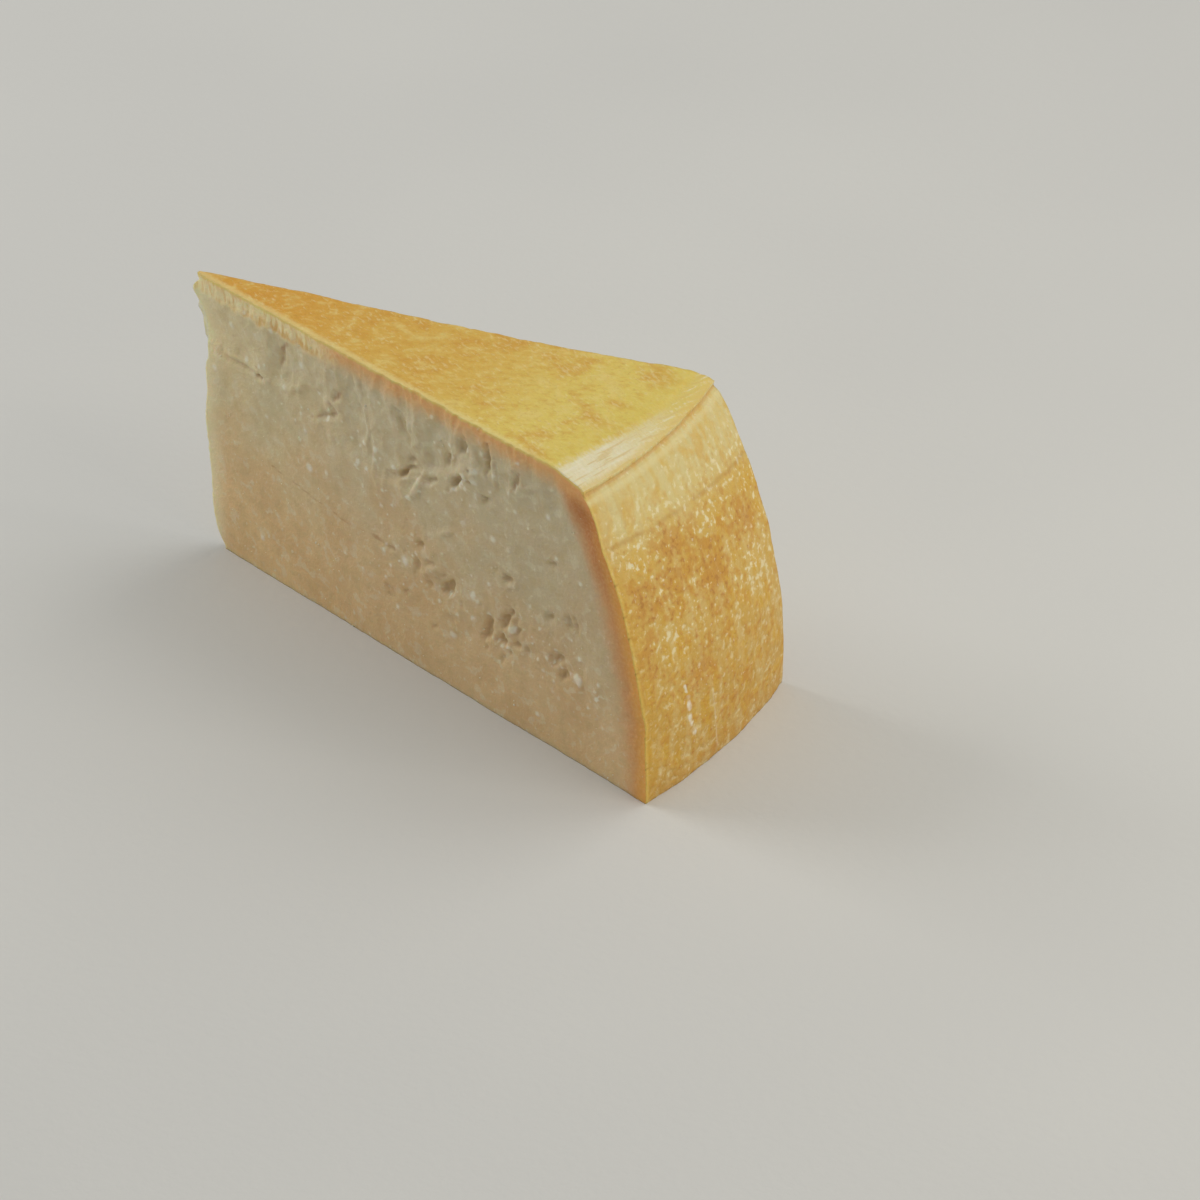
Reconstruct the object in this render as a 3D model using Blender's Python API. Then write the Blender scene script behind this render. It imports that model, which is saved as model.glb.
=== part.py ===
"""Wedge of hard grating cheese, about a sixteenth of a turn, from the upper half of a wheel.

The wheel's flat rind is on top and its barrel-shaped rind is the outer end. The base and the two
long sides are cut, and the wheel's middle is the thin front edge. Units are metres, +Z is up, the
base lies on Z = 0, and the wedge points its thin edge to -X. The side at -Y is the torn one.
"""

import math
from dataclasses import dataclass

import bmesh
import bpy
from mathutils import Vector, noise

NODE_NAME = "parmesan_wedge"
MATERIAL_NAME = "aged cheese"
CHEESE_COLOUR = (0.56, 0.43, 0.20, 1.0)
CHEESE_ROUGHNESS = 0.6

# Wheel: radius and height of its widest ring, curve of its barrel side, and the wedge's height
WHEEL_RADIUS = 0.2162
WIDEST_HEIGHT = 0.009
BARREL_CURVE_RADIUS = 0.163
WEDGE_HEIGHT = 0.110

# Wheel's axis in the wedge's frame, whose origin is the middle of the base
WHEEL_AXIS_X = -0.1068
WHEEL_AXIS_Y = 0.0005

# Cuts: angles from +X about the wheel's axis, and how the far one leans and flares out
NEAR_CUT_ANGLE = math.radians(-11.45)
FAR_CUT_ANGLE_AT_BASE = math.radians(10.6)
FAR_CUT_LEAN = math.radians(0.85)
FAR_CUT_FLARE = math.radians(1.2)
FLARE_RADII = (0.10, 0.19)
FLARE_HEIGHTS = (0.035, 0.110)
EDGE_HALF_THICKNESS = 0.0008

# Base: a flat face with four corners, inside a rim that is lifted a little
BASE_INNER_RADIUS = 0.0095
BASE_OUTER_RADIUS = 0.2125
BASE_INNER_MARGIN = 0.25
BASE_OUTER_MARGIN = 0.018
BASE_LIFT = 0.0004

# Rim: a sloped facet on the top rind, a rounded lip, and a groove under the lip
RIM_RADIUS = 0.187
FACET_START_NEAR = 0.1745
FACET_START_FAR = 0.180
FACET_SLOPE = 0.21
LIP_ROUNDING = 0.003
LIP_DROP = 0.0007
LIP_REACH = 0.0005
GROOVE_BELOW_LIP = 0.0016
GROOVE_HALF_WIDTH = 0.0012
GROOVE_DEPTH = 0.0008

# Torn faces
BROAD_WAVE = 0.045
BROAD_HEIGHT = 0.0008
CRAG_WAVE = 0.014
CRAG_HEIGHT = 0.00055
FLUTE_WAVE = 0.009
FLUTE_HEIGHT = 0.0007
FLUTES_START = 0.072
FLUTES_FULL = 0.092
CALM_START = 0.098
CALM_SHARE = 0.7
CALM_BASE_HEIGHT = 0.008
LEDGE_DEPTH = 0.0011
LEDGE_STEP = 0.0045
LEDGE_FADE_HEIGHT = 0.106
FRAYED_HEIGHT = 0.006
FRAYED_DEPTH = 0.0006
FRAYED_LENGTH = 0.078
NEAR_SEED = 2.6
FAR_SEED = 9.3

# Lower lip of the torn hollow on the near face: distance from the wheel's axis, height
LEDGE_LINE = (
    (0.000, 0.0805),
    (0.045, 0.0820),
    (0.070, 0.0740),
    (0.090, 0.0670),
    (0.106, 0.0680),
    (0.113, 0.0790),
    (0.133, 0.0890),
    (0.165, 0.0960),
)

# Rind relief
RIND_WAVE = 0.011
RIND_HEIGHT = 0.00035
TOP_WAVE = 0.016
TOP_HEIGHT = 0.0002

# Cells of the surface before it is thinned out, and the triangles left after that
CELL = 0.0017
RIM_CELL = 0.0007
RIM_ZONE = 0.014
TRIANGLES = 10500


@dataclass(frozen=True)
class Hollow:
    """Pit, gouge or crack in a torn face: its middle, half sizes, depth and lean in degrees.

    A depth below 0 makes it a ridge or a knob.
    """

    along: float
    height: float
    half_length: float
    half_width: float
    depth: float
    lean: float = 0.0


@dataclass(frozen=True)
class EdgeFeature:
    """Flake (negative reach) or notch (positive reach) on the thin front edge."""

    height: float
    half_height: float
    reach: float


# Pits of the near face, where curd came away
NEAR_PITS = (
    Hollow(0.1105, 0.0510, 0.0022, 0.0017, 0.0012, 20),
    Hollow(0.1163, 0.0460, 0.0017, 0.0014, 0.0009),
    Hollow(0.1087, 0.0424, 0.0030, 0.0019, 0.0011, 85),
    Hollow(0.1235, 0.0405, 0.0046, 0.0024, 0.0020, 50),
    Hollow(0.0962, 0.0430, 0.0018, 0.0013, 0.0006),
    Hollow(0.1522, 0.0570, 0.0026, 0.0015, 0.0014, 15),
    Hollow(0.1715, 0.0512, 0.0024, 0.0016, 0.0012, 25),
    Hollow(0.1803, 0.0538, 0.0026, 0.0015, 0.0010, 100),
    Hollow(0.1842, 0.0535, 0.0024, 0.0012, 0.0009, 90),
    Hollow(0.1507, 0.0405, 0.0036, 0.0021, 0.0020, 50),
    Hollow(0.1428, 0.0330, 0.0054, 0.0019, 0.0017, 73),
    Hollow(0.1492, 0.0318, 0.0030, 0.0018, 0.0016, 25),
    Hollow(0.1562, 0.0332, 0.0028, 0.0014, 0.0013, 22),
    Hollow(0.1530, 0.0282, 0.0018, 0.0012, 0.0008, 30),
    Hollow(0.1612, 0.0335, 0.0018, 0.0014, 0.0010, -50),
    Hollow(0.1572, 0.0395, 0.0020, 0.0013, 0.0009, 40),
    Hollow(0.1758, 0.0372, 0.0036, 0.0018, 0.0016, 35),
    Hollow(0.1785, 0.0322, 0.0024, 0.0019, 0.0012, 60),
    Hollow(0.1238, 0.0285, 0.0038, 0.0020, 0.0006, 25),
    Hollow(0.0962, 0.0250, 0.0034, 0.0026, 0.0007),
    Hollow(0.1730, 0.0725, 0.0026, 0.0014, 0.0010, 15),
)

# Upright gouges and folds under the top rind
NEAR_GOUGES = (
    Hollow(0.1240, 0.0903, 0.0038, 0.0018, 0.0013, 68),
    Hollow(0.1318, 0.0994, 0.0040, 0.0021, 0.0015, 65),
    Hollow(0.1437, 0.0988, 0.0054, 0.0023, 0.0022, 88),
    Hollow(0.1568, 0.0965, 0.0054, 0.0016, 0.0012, 62),
    Hollow(0.1045, 0.0930, 0.0075, 0.0022, 0.0010, -67),
    Hollow(0.0425, 0.0950, 0.0064, 0.0016, 0.0009, 70),
    Hollow(0.0694, 0.0908, 0.0038, 0.0016, 0.0009, 55),
)

# Cracks, of which the first starts at the notch in the front edge
NEAR_CRACKS = (
    Hollow(0.0180, 0.0815, 0.0140, 0.0013, 0.0010),
    Hollow(0.0300, 0.0812, 0.0034, 0.0012, 0.0012, 15),
    Hollow(0.0650, 0.0810, 0.0085, 0.0013, 0.0009, 25),
    Hollow(0.1020, 0.0750, 0.0036, 0.0014, 0.0017, 48),
    Hollow(0.1060, 0.0788, 0.0034, 0.0012, 0.0012, 18),
    Hollow(0.1062, 0.0820, 0.0032, 0.0011, 0.0010, 25),
    Hollow(0.1170, 0.0793, 0.0040, 0.0012, 0.0011, 22),
    Hollow(0.1290, 0.0850, 0.0054, 0.0013, 0.0018, 48),
    Hollow(0.1428, 0.0828, 0.0036, 0.0011, 0.0008, 20),
)

# Ridges and knobs of curd left standing
NEAR_RIDGES = (
    Hollow(0.1097, 0.0740, 0.0066, 0.0018, -0.0009, 63),
    Hollow(0.1120, 0.0795, 0.0026, 0.0015, -0.0008, 20),
    Hollow(0.1370, 0.0970, 0.0058, 0.0020, -0.0008, 85),
    Hollow(0.1467, 0.0960, 0.0060, 0.0012, -0.0007, 90),
    Hollow(0.0812, 0.1010, 0.0034, 0.0015, -0.0007, -70),
    Hollow(0.0842, 0.0900, 0.0060, 0.0011, -0.0006, -68),
    Hollow(0.0850, 0.0815, 0.0045, 0.0011, -0.0006, 75),
    Hollow(0.0485, 0.0846, 0.0042, 0.0012, -0.0006, 25),
    Hollow(0.1542, 0.0385, 0.0040, 0.0016, -0.0010, 70),
    Hollow(0.1228, 0.0615, 0.0046, 0.0014, -0.0007, 33),
    Hollow(0.1148, 0.0430, 0.0044, 0.0019, -0.0006, 40),
    Hollow(0.1140, 0.0870, 0.0040, 0.0016, -0.0006, -75),
    Hollow(0.1065, 0.0955, 0.0040, 0.0015, -0.0006, 80),
    Hollow(0.1630, 0.0972, 0.0050, 0.0012, -0.0005, 22),
    Hollow(0.1548, 0.0560, 0.0032, 0.0014, -0.0006, 35),
    Hollow(0.1850, 0.0336, 0.0032, 0.0016, -0.0006, 10),
)

# Far face, which is torn in the same way: pits in rows, placed by rule
FAR_PIT_COUNT = 14
FAR_PIT_SPACING = 0.0125
FAR_PIT_START = 0.034

FRONT_EDGE_FEATURES = (
    EdgeFeature(0.1075, 0.0012, 0.0008),
    EdgeFeature(0.1032, 0.0032, -0.0030),
    EdgeFeature(0.0964, 0.0018, -0.0014),
    EdgeFeature(0.0795, 0.0048, 0.0032),
    EdgeFeature(0.0030, 0.0060, 0.0024),
    EdgeFeature(0.0000, 0.0036, 0.0026),
)


def clear_scene():
    """Remove every object that the file opened with."""
    for old in list(bpy.data.objects):
        bpy.data.objects.remove(old, do_unlink=True)


def smooth_step(start, end, value):
    """Rise smoothly from 0 at start to 1 at end."""
    share = min(1.0, max(0.0, (value - start) / (end - start)))
    return share * share * (3.0 - 2.0 * share)


def mix(start, end, share):
    """Value at a share of the way from start to end."""
    return start + (end - start) * share


def bell(distance, half_width):
    """Smooth hump: 1 in the middle, near 0 two half widths away."""
    return math.exp(-((distance / half_width) ** 2))


def height_on_line(line, along):
    """Height of a line of (along, height) points, straight between them and level past its ends."""
    if along <= line[0][0]:
        return line[0][1]
    for (start, start_height), (end, end_height) in zip(line, line[1:]):
        if along <= end:
            return mix(start_height, end_height, (along - start) / (end - start))
    return line[-1][1]


def wave(along, height, wavelength, seed):
    """Smooth noise from -1 to 1 over a face, with one wave in about each wavelength."""
    return noise.noise(Vector((along / wavelength, height / wavelength, seed)))


def hollow_depth(hollow, along, height, seed):
    """Depth that a hollow takes off a torn face at one point, with an uneven outline."""
    across = along - hollow.along
    up = height - hollow.height
    lean = math.radians(hollow.lean)
    long_way = across * math.cos(lean) + up * math.sin(lean)
    short_way = up * math.cos(lean) - across * math.sin(lean)
    reach = math.hypot(long_way / hollow.half_length, short_way / hollow.half_width)
    if reach > 2.0:
        return 0.0
    uneven = reach * (1.0 + 0.5 * wave(along, height, hollow.half_width + 0.001, seed))
    return hollow.depth * (1.0 - smooth_step(0.45, 1.15, uneven))


def far_hollows():
    """Pits of the far face: a wavy row of them, each a little different from the last."""
    hollows = []
    for index in range(FAR_PIT_COUNT):
        along = FAR_PIT_START + index * FAR_PIT_SPACING
        swing = math.sin(index * 2.3)
        hollows.append(
            Hollow(
                along=along,
                height=0.052 + 0.026 * swing,
                half_length=0.0030 + 0.0014 * math.sin(index * 1.7),
                half_width=0.0024 + 0.0009 * math.cos(index * 2.9),
                depth=0.0013 + 0.0005 * math.sin(index * 3.1),
                lean=math.degrees(swing),
            )
        )
    return tuple(hollows)


def torn_relief(along, height, seed, hollows):
    """How far a torn face stands out at one point, with its waves, crags, flutes and hollows."""
    relief = BROAD_HEIGHT * wave(along, height, BROAD_WAVE, seed)
    relief += CRAG_HEIGHT * wave(along, height, CRAG_WAVE, seed + 20.0)
    flutes = smooth_step(FLUTES_START, FLUTES_FULL, height)
    relief += FLUTE_HEIGHT * flutes * wave(along, height / 3.0, FLUTE_WAVE, seed + 40.0)
    relief *= 1.0 - CALM_SHARE * smooth_step(CALM_START, WEDGE_HEIGHT, height)
    relief *= mix(1.0 - CALM_SHARE, 1.0, smooth_step(0.0, CALM_BASE_HEIGHT, height))
    for hollow in hollows:
        relief -= hollow_depth(hollow, along, height, seed)
    return relief


def near_relief(along, height, hollows):
    """Relief of the near face: torn, hollowed above its ledge, and frayed under the top rind."""
    relief = torn_relief(along, height, NEAR_SEED, hollows)
    lip = height_on_line(LEDGE_LINE, along) + 0.0015 * wave(along, 0.0, 0.008, 3.0)
    above = smooth_step(lip, lip + LEDGE_STEP, height)
    below_rind = 1.0 - smooth_step(mix(lip, LEDGE_FADE_HEIGHT, 0.3), LEDGE_FADE_HEIGHT, height)
    inner = 1.0 - smooth_step(0.125, 0.160, along)
    relief -= LEDGE_DEPTH * above * below_rind * inner
    frayed_start = WEDGE_HEIGHT - 0.0015 - FRAYED_HEIGHT
    frayed = smooth_step(frayed_start, frayed_start + 0.0015, height)
    frayed *= 1.0 - smooth_step(WEDGE_HEIGHT - 0.003, WEDGE_HEIGHT - 0.001, height)
    frayed *= 1.0 - smooth_step(FRAYED_LENGTH - 0.006, FRAYED_LENGTH, along)
    return relief - FRAYED_DEPTH * frayed * (1.0 + wave(along, height / 4.0, 0.004, 7.0))


def far_relief(along, height, hollows):
    """Relief of the far face, which is torn all over."""
    return torn_relief(along, height, FAR_SEED, hollows)


def front_edge_radius(height):
    """Distance of the thin front edge from the wheel's axis, with its flakes and notches."""
    radius = 0.0012 * (1.0 - smooth_step(0.0, 0.05, height))
    radius += 0.0006 * wave(0.0, height, 0.012, 5.0)
    for feature in FRONT_EDGE_FEATURES:
        radius += feature.reach * bell(height - feature.height, feature.half_height)
    return radius


def rind_top_height(radius, angle):
    """Height of the top rind: level, sloped on the facet by the rim, and rounded at the lip."""
    turn = (angle - NEAR_CUT_ANGLE) / (FAR_CUT_ANGLE_AT_BASE - NEAR_CUT_ANGLE)
    along_near_cut = radius * math.cos(angle - NEAR_CUT_ANGLE)
    facet_start = mix(FACET_START_NEAR, FACET_START_FAR, min(1.0, turn) ** 2)
    along = mix(along_near_cut, radius, min(1.0, turn))
    facet = FACET_SLOPE * max(0.0, along - facet_start)
    lip = LIP_DROP * smooth_step(RIM_RADIUS - LIP_ROUNDING, RIM_RADIUS, radius) ** 2
    return WEDGE_HEIGHT - facet - lip


def side_radius(height, rim_height):
    """Radius of the barrel side at a height, with the lip and groove under the rim."""
    radius = WHEEL_RADIUS - (height - WIDEST_HEIGHT) ** 2 / (2.0 * BARREL_CURVE_RADIUS)
    groove_height = rim_height - GROOVE_BELOW_LIP
    radius -= GROOVE_DEPTH * bell(height - groove_height, GROOVE_HALF_WIDTH)
    return radius + LIP_REACH * smooth_step(groove_height, rim_height - 0.0004, height)


def far_cut_angle(radius, height):
    """Angle of the far cut, which leans out with height and flares out by the rim."""
    lean = FAR_CUT_LEAN * (height / WEDGE_HEIGHT) ** 1.3
    flare = smooth_step(*FLARE_RADII, radius) * smooth_step(*FLARE_HEIGHTS, height)
    return FAR_CUT_ANGLE_AT_BASE + lean + FAR_CUT_FLARE * flare


def base_corner_point(inward, across):
    """Point of the flat base, by its shares of the way outwards and across."""
    corners = []
    for radius, margin in (
        (BASE_INNER_RADIUS, BASE_INNER_MARGIN),
        (BASE_OUTER_RADIUS, BASE_OUTER_MARGIN),
    ):
        angle = mix(NEAR_CUT_ANGLE, FAR_CUT_ANGLE_AT_BASE, mix(margin, 1.0 - margin, across))
        corners.append((radius * math.cos(angle), radius * math.sin(angle)))
    (inner_x, inner_y), (outer_x, outer_y) = corners
    x = mix(inner_x, outer_x, inward) + WHEEL_AXIS_X
    y = mix(inner_y, outer_y, inward) + WHEEL_AXIS_Y
    return Vector((x, y, 0.0))


def wedge_point(inward, across, upward, near_hollows, torn_far_hollows):
    """Place one point of the block on the wedge.

    inward runs from 0 at the front edge to 1 at the side rind, across from 0 at the near cut to 1
    at the far cut, and upward from 0 at the base's rim to 1 at the top rind. The corners of the flat
    base have an upward share below 0.
    """
    if upward < 0.0:
        return base_corner_point(inward, across)
    rough_angle = mix(NEAR_CUT_ANGLE, FAR_CUT_ANGLE_AT_BASE + FAR_CUT_LEAN, across)
    height = mix(BASE_LIFT, rind_top_height(inward * RIM_RADIUS, rough_angle), upward)
    rim_height = rind_top_height(RIM_RADIUS, rough_angle)
    radius = mix(front_edge_radius(height), side_radius(height, rim_height), inward)
    far_angle = far_cut_angle(radius, height)
    angle = mix(NEAR_CUT_ANGLE, far_angle, across)
    rind = smooth_step(0.97, 1.0, inward)
    radius += RIND_HEIGHT * rind * noise.noise(
        Vector((angle * WHEEL_RADIUS / RIND_WAVE, height / RIND_WAVE, 4.0))
    )
    x = radius * math.cos(angle)
    y = max(radius, 0.0) * math.sin(angle)
    y += (2.0 * across - 1.0) * EDGE_HALF_THICKNESS * (1.0 - inward)
    near_out = (1.0 - across) * near_relief(radius, height, near_hollows)
    far_out = across * far_relief(radius, height, torn_far_hollows)
    x += near_out * math.sin(NEAR_CUT_ANGLE) - far_out * math.sin(far_angle)
    y += far_out * math.cos(far_angle) - near_out * math.cos(NEAR_CUT_ANGLE)
    top = smooth_step(0.97, 1.0, upward)
    z = height + TOP_HEIGHT * top * wave(x, y, TOP_WAVE, 6.0)
    return Vector((x + WHEEL_AXIS_X, y + WHEEL_AXIS_Y, z))


def spread_cells(length):
    """Places from 0 to 1 along a length that ends at the rim, closer together near the rim."""
    plain_count = round((length - RIM_ZONE) / CELL)
    rim_count = round(RIM_ZONE / RIM_CELL)
    plain = [(length - RIM_ZONE) * step / plain_count for step in range(plain_count)]
    rim = [length - RIM_ZONE + RIM_ZONE * step / rim_count for step in range(rim_count + 1)]
    return [place / length for place in plain + rim]


def make_block(columns, rows, slices):
    """Unit block with a grid on each side, as two cut faces bridged by a band all round."""
    mesh = bmesh.new()
    rims = []
    for across in (0.0, 1.0):
        made = bmesh.ops.create_grid(
            mesh, x_segments=len(columns) - 1, y_segments=len(rows) - 1, size=0.5
        )
        for vert in made["verts"]:
            column = round((vert.co.x + 0.5) * (len(columns) - 1))
            row = round((vert.co.y + 0.5) * (len(rows) - 1))
            vert.co = Vector((columns[column], across, rows[row]))
        edges = {edge for vert in made["verts"] for edge in vert.link_edges}
        rims += [edge for edge in edges if edge.is_boundary]
    bridge = bmesh.ops.bridge_loops(mesh, edges=rims)
    spanning = [edge for edge in bridge["edges"] if edge not in rims]
    bmesh.ops.subdivide_edges(mesh, edges=spanning, cuts=slices - 1)
    add_flat_base(mesh)
    bmesh.ops.recalc_face_normals(mesh, faces=mesh.faces)
    return mesh


def add_flat_base(mesh):
    """Give the block's underside a face with only four corners, joined to its outline."""
    under = [face for face in mesh.faces if all(vert.co.z < 0.0001 for vert in face.verts)]
    whole = bmesh.ops.dissolve_faces(mesh, faces=under)["region"]
    drawn = bmesh.ops.extrude_face_region(mesh, geom=whole)["geom"]
    bmesh.ops.delete(mesh, geom=whole, context="FACES_ONLY")
    ring = [part for part in drawn if isinstance(part, bmesh.types.BMVert)]
    for vert in ring:
        vert.co.z = -1.0
    spare = []
    for vert in ring:
        corner = {vert.co.x, vert.co.y} <= {0.0, 1.0}
        spare += [edge for edge in vert.link_edges if not corner and edge.other_vert(vert).co.z >= 0.0]
    bmesh.ops.dissolve_edges(mesh, edges=spare, use_verts=True)


def make_material():
    """Pale golden material of the whole wedge."""
    material = bpy.data.materials.new(MATERIAL_NAME)
    material.use_nodes = True
    surface = material.node_tree.nodes["Principled BSDF"]
    surface.inputs["Base Color"].default_value = CHEESE_COLOUR
    surface.inputs["Roughness"].default_value = CHEESE_ROUGHNESS
    surface.inputs["Metallic"].default_value = 0.0
    material.diffuse_color = CHEESE_COLOUR
    return material


def build_wedge():
    """Model the wedge and thin out its triangles where it is smooth."""
    width = WHEEL_RADIUS * (FAR_CUT_ANGLE_AT_BASE + FAR_CUT_LEAN - NEAR_CUT_ANGLE)
    block = make_block(
        columns=spread_cells(WHEEL_RADIUS),
        rows=spread_cells(WEDGE_HEIGHT),
        slices=round(width / CELL),
    )
    near_hollows = NEAR_PITS + NEAR_GOUGES + NEAR_CRACKS + NEAR_RIDGES
    torn_far_hollows = far_hollows()
    for vert in block.verts:
        vert.co = wedge_point(*vert.co, near_hollows, torn_far_hollows)
    mesh = bpy.data.meshes.new(NODE_NAME)
    block.to_mesh(mesh)
    block.free()
    mesh.materials.append(make_material())
    wedge = bpy.data.objects.new(NODE_NAME, mesh)
    bpy.context.scene.collection.objects.link(wedge)
    thinned = wedge.modifiers.new("Fewer triangles", "DECIMATE")
    thinned.ratio = TRIANGLES / (2 * len(mesh.polygons))
    thinned.use_collapse_triangulate = True
    return wedge


def main():
    """Build the part."""
    clear_scene()
    build_wedge()


main()
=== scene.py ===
"""Looks of a wedge of aged hard cheese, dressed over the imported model.

The wedge is one closed surface: two torn cut sides, the thin front edge between them, the top
rind, the barrel-shaped side rind and the flat base. Its sizes repeat those of the solid, whose
source this script can't read. White crystals sit on the torn sides as a piece of their own.
Lengths are metres, +Z is up, and the wheel's axis stands near the thin front edge.
"""

import logging
import math
from collections.abc import Sequence
from dataclasses import dataclass, field
from enum import IntEnum
from typing import Any

import bmesh
import bpy
import numpy as np
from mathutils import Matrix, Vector, noise


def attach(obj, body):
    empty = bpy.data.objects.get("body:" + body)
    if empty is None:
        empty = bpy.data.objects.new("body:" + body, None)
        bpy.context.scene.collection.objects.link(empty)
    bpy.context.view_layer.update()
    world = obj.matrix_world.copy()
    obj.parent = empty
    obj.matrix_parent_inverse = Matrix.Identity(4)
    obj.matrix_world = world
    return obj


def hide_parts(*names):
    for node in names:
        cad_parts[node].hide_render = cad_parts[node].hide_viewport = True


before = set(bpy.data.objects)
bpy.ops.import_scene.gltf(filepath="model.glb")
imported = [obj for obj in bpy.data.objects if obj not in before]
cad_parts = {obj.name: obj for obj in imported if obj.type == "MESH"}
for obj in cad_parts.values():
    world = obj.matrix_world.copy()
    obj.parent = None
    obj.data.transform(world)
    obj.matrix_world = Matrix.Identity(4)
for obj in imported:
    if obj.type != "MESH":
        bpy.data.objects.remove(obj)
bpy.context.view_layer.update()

LOG = logging.getLogger("wedge")

NODE = "parmesan_wedge"
BODY = "root"
MM = 0.001

Array = np.ndarray
Place = tuple[float, float]


def linear(code: str) -> tuple[float, float, float, float]:
    """Turn an sRGB colour into linear light.

    Args:
        code: Six hex digits after a hash.

    Returns:
        Red, green, blue and an alpha of 1.
    """
    parts = [int(code[start : start + 2], 16) / 255.0 for start in (1, 3, 5)]
    light = [part / 12.92 if part <= 0.04045 else ((part + 0.055) / 1.055) ** 2.4 for part in parts]
    return (light[0], light[1], light[2], 1.0)


def smooth_step(start: float | Array, end: float | Array, value: Array) -> Array:
    """Rise smoothly from 0 at start to 1 at end.

    Args:
        start: Value that gives 0.
        end: Value that gives 1.
        value: Where to read the rise.

    Returns:
        Shares from 0 to 1, in value's shape.
    """
    share = np.clip((value - start) / (end - start), 0.0, 1.0)
    return share * share * (3.0 - 2.0 * share)


def mix(start: float | Array, end: float | Array, share: float | Array) -> Array:
    """Value at a share of the way from start to end."""
    return start + (end - start) * share


def bell(distance: Array, half_width: float | Array) -> Array:
    """Smooth hump: 1 in the middle, near 0 two half widths away."""
    return np.exp(-((distance / half_width) ** 2))


def ripple(along: Array, up: Array, size: float, seed: float) -> Array:
    """Read smooth noise over a face.

    Args:
        along: First coordinate of each point.
        up: Second coordinate of each point.
        size: Width of one wave.
        seed: Where the noise is sliced, so that layers differ.

    Returns:
        Values from about -1 to 1, in along's shape.
    """
    pairs = zip((along / size).ravel().tolist(), (up / size).ravel().tolist())
    values = [noise.noise((first, second, seed)) for first, second in pairs]
    return np.array(values).reshape(along.shape)


def add_object(name: str, data: bpy.types.ID) -> bpy.types.Object:
    """Add an object to the scene.

    Args:
        name: The object's name.
        data: Its mesh, light or camera.

    Returns:
        The new object.
    """
    added = bpy.data.objects.new(name, data)
    bpy.context.scene.collection.objects.link(added)
    return added


@dataclass(frozen=True)
class Wave:
    """Layer of smooth noise over a face.

    size is the width of a wave, height how far it swings, and tall how many times as tall as wide
    it is. level is where the noise is sliced, so that layers differ.
    """

    size: float
    height: float
    level: float
    tall: float = 1.0

    def read(self, along: Array, up: Array, shift: float = 0.0) -> Array:
        """Read the layer over a face.

        Args:
            along: First coordinate of each point.
            up: Second coordinate of each point.
            shift: Added to level, so that each side has layers of its own.

        Returns:
            Values from about -height to height, in along's shape.
        """
        return self.height * ripple(along, up / self.tall, self.size, self.level + shift)


def metres(*rows: Sequence[float]) -> tuple[tuple[float, ...], ...]:
    """Turn rows of millimetres into rows of metres."""
    return tuple(tuple(MM * value for value in row) for row in rows)


def rows_as(kind: type, *rows: tuple[float, ...]) -> tuple[Any, ...]:
    """Make one thing of a kind from each row: lengths in millimetres, then one plain number."""
    return tuple(kind(*(MM * value for value in row[:-1]), row[-1]) for row in rows)


def line_at(line: tuple[Place, ...], along: Array | float) -> Array | float:
    """Height of a line through the given points, at each distance along it."""
    places, heights = zip(*line)
    return np.interp(along, places, heights)


@dataclass(frozen=True)
class Hollow:
    """Pit, gouge or crack in a torn side: its middle, half sizes, depth and lean in degrees.

    A depth below 0 makes it a ridge or a knob. floor, wall and lip say where its floor and its wall
    end and its lip is highest, as shares of its half size.
    """

    along: float
    up: float
    half_length: float
    half_width: float
    depth: float
    lean: float
    floor: float = 0.40
    wall: float = 1.20
    lip: float = 1.4
    lip_half_width: float = 0.25

    def inside(self, along: Array, up: Array, uneven: Array) -> tuple[Array, Array]:
        """Work out where the hollow lies.

        Args:
            along: First coordinate of each point.
            up: Second coordinate of each point.
            uneven: How far each point's distance is stretched, which frays the outline.

        Returns:
            1 on the floor of the hollow and 0 outside it, then 1 on the lip round it.
        """
        turn = math.radians(self.lean)
        across = along - self.along
        above = up - self.up
        long_way = across * math.cos(turn) + above * math.sin(turn)
        short_way = above * math.cos(turn) - across * math.sin(turn)
        reach = np.hypot(long_way / self.half_length, short_way / self.half_width) * uneven
        lip = bell(reach - self.lip, self.lip_half_width)
        return 1.0 - smooth_step(self.floor, self.wall, reach), lip


@dataclass(frozen=True)
class Trace:
    """Mark along a bent line, such as a scuff or a stain: its points and half width."""

    points: tuple[Place, ...]
    half_width: float

    def share(self, along: Array, up: Array) -> Array:
        """How strongly the mark shows: 1 on the line, fading smoothly beside it.

        Args:
            along: First coordinate of each point.
            up: Second coordinate of each point.

        Returns:
            Shares from 0 to 1, in along's shape.
        """
        nearest = np.full(along.shape, np.inf)
        for (x0, y0), (x1, y1) in zip(self.points, self.points[1:]):
            run = (x1 - x0, y1 - y0)
            place = ((along - x0) * run[0] + (up - y0) * run[1]) / (run[0] ** 2 + run[1] ** 2)
            place = np.clip(place, 0.0, 1.0)
            gap = np.hypot(along - x0 - place * run[0], up - y0 - place * run[1])
            nearest = np.minimum(nearest, gap)
        return bell(nearest, self.half_width)


def trace(half_width: float, *points: Place) -> Trace:
    """Make a mark from its half width and its points, all in millimetres."""
    return Trace(metres(*points), MM * half_width)


@dataclass(frozen=True)
class Patch:
    """Soft patch of colour on a rind: its middle, half sizes and strength, below 0 for pale."""

    along: float
    up: float
    half_length: float
    half_height: float
    strength: float


@dataclass
class Relief:
    """What a torn side has at each point of its grid.

    out is how far it stands out, hollow is 1 in the deepest pits and the crevice, where shade is
    painted, bright is 1 on ridges, knobs and pit lips, where highlights are painted, and on
    crystals and crumbs, frayed is 1 in the band of rind fibres, and stain is 1 on brown hairlines
    and on folds and cracks whose shade is painted.
    """

    out: Array
    hollow: Array
    bright: Array
    frayed: Array
    stain: Array


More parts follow.
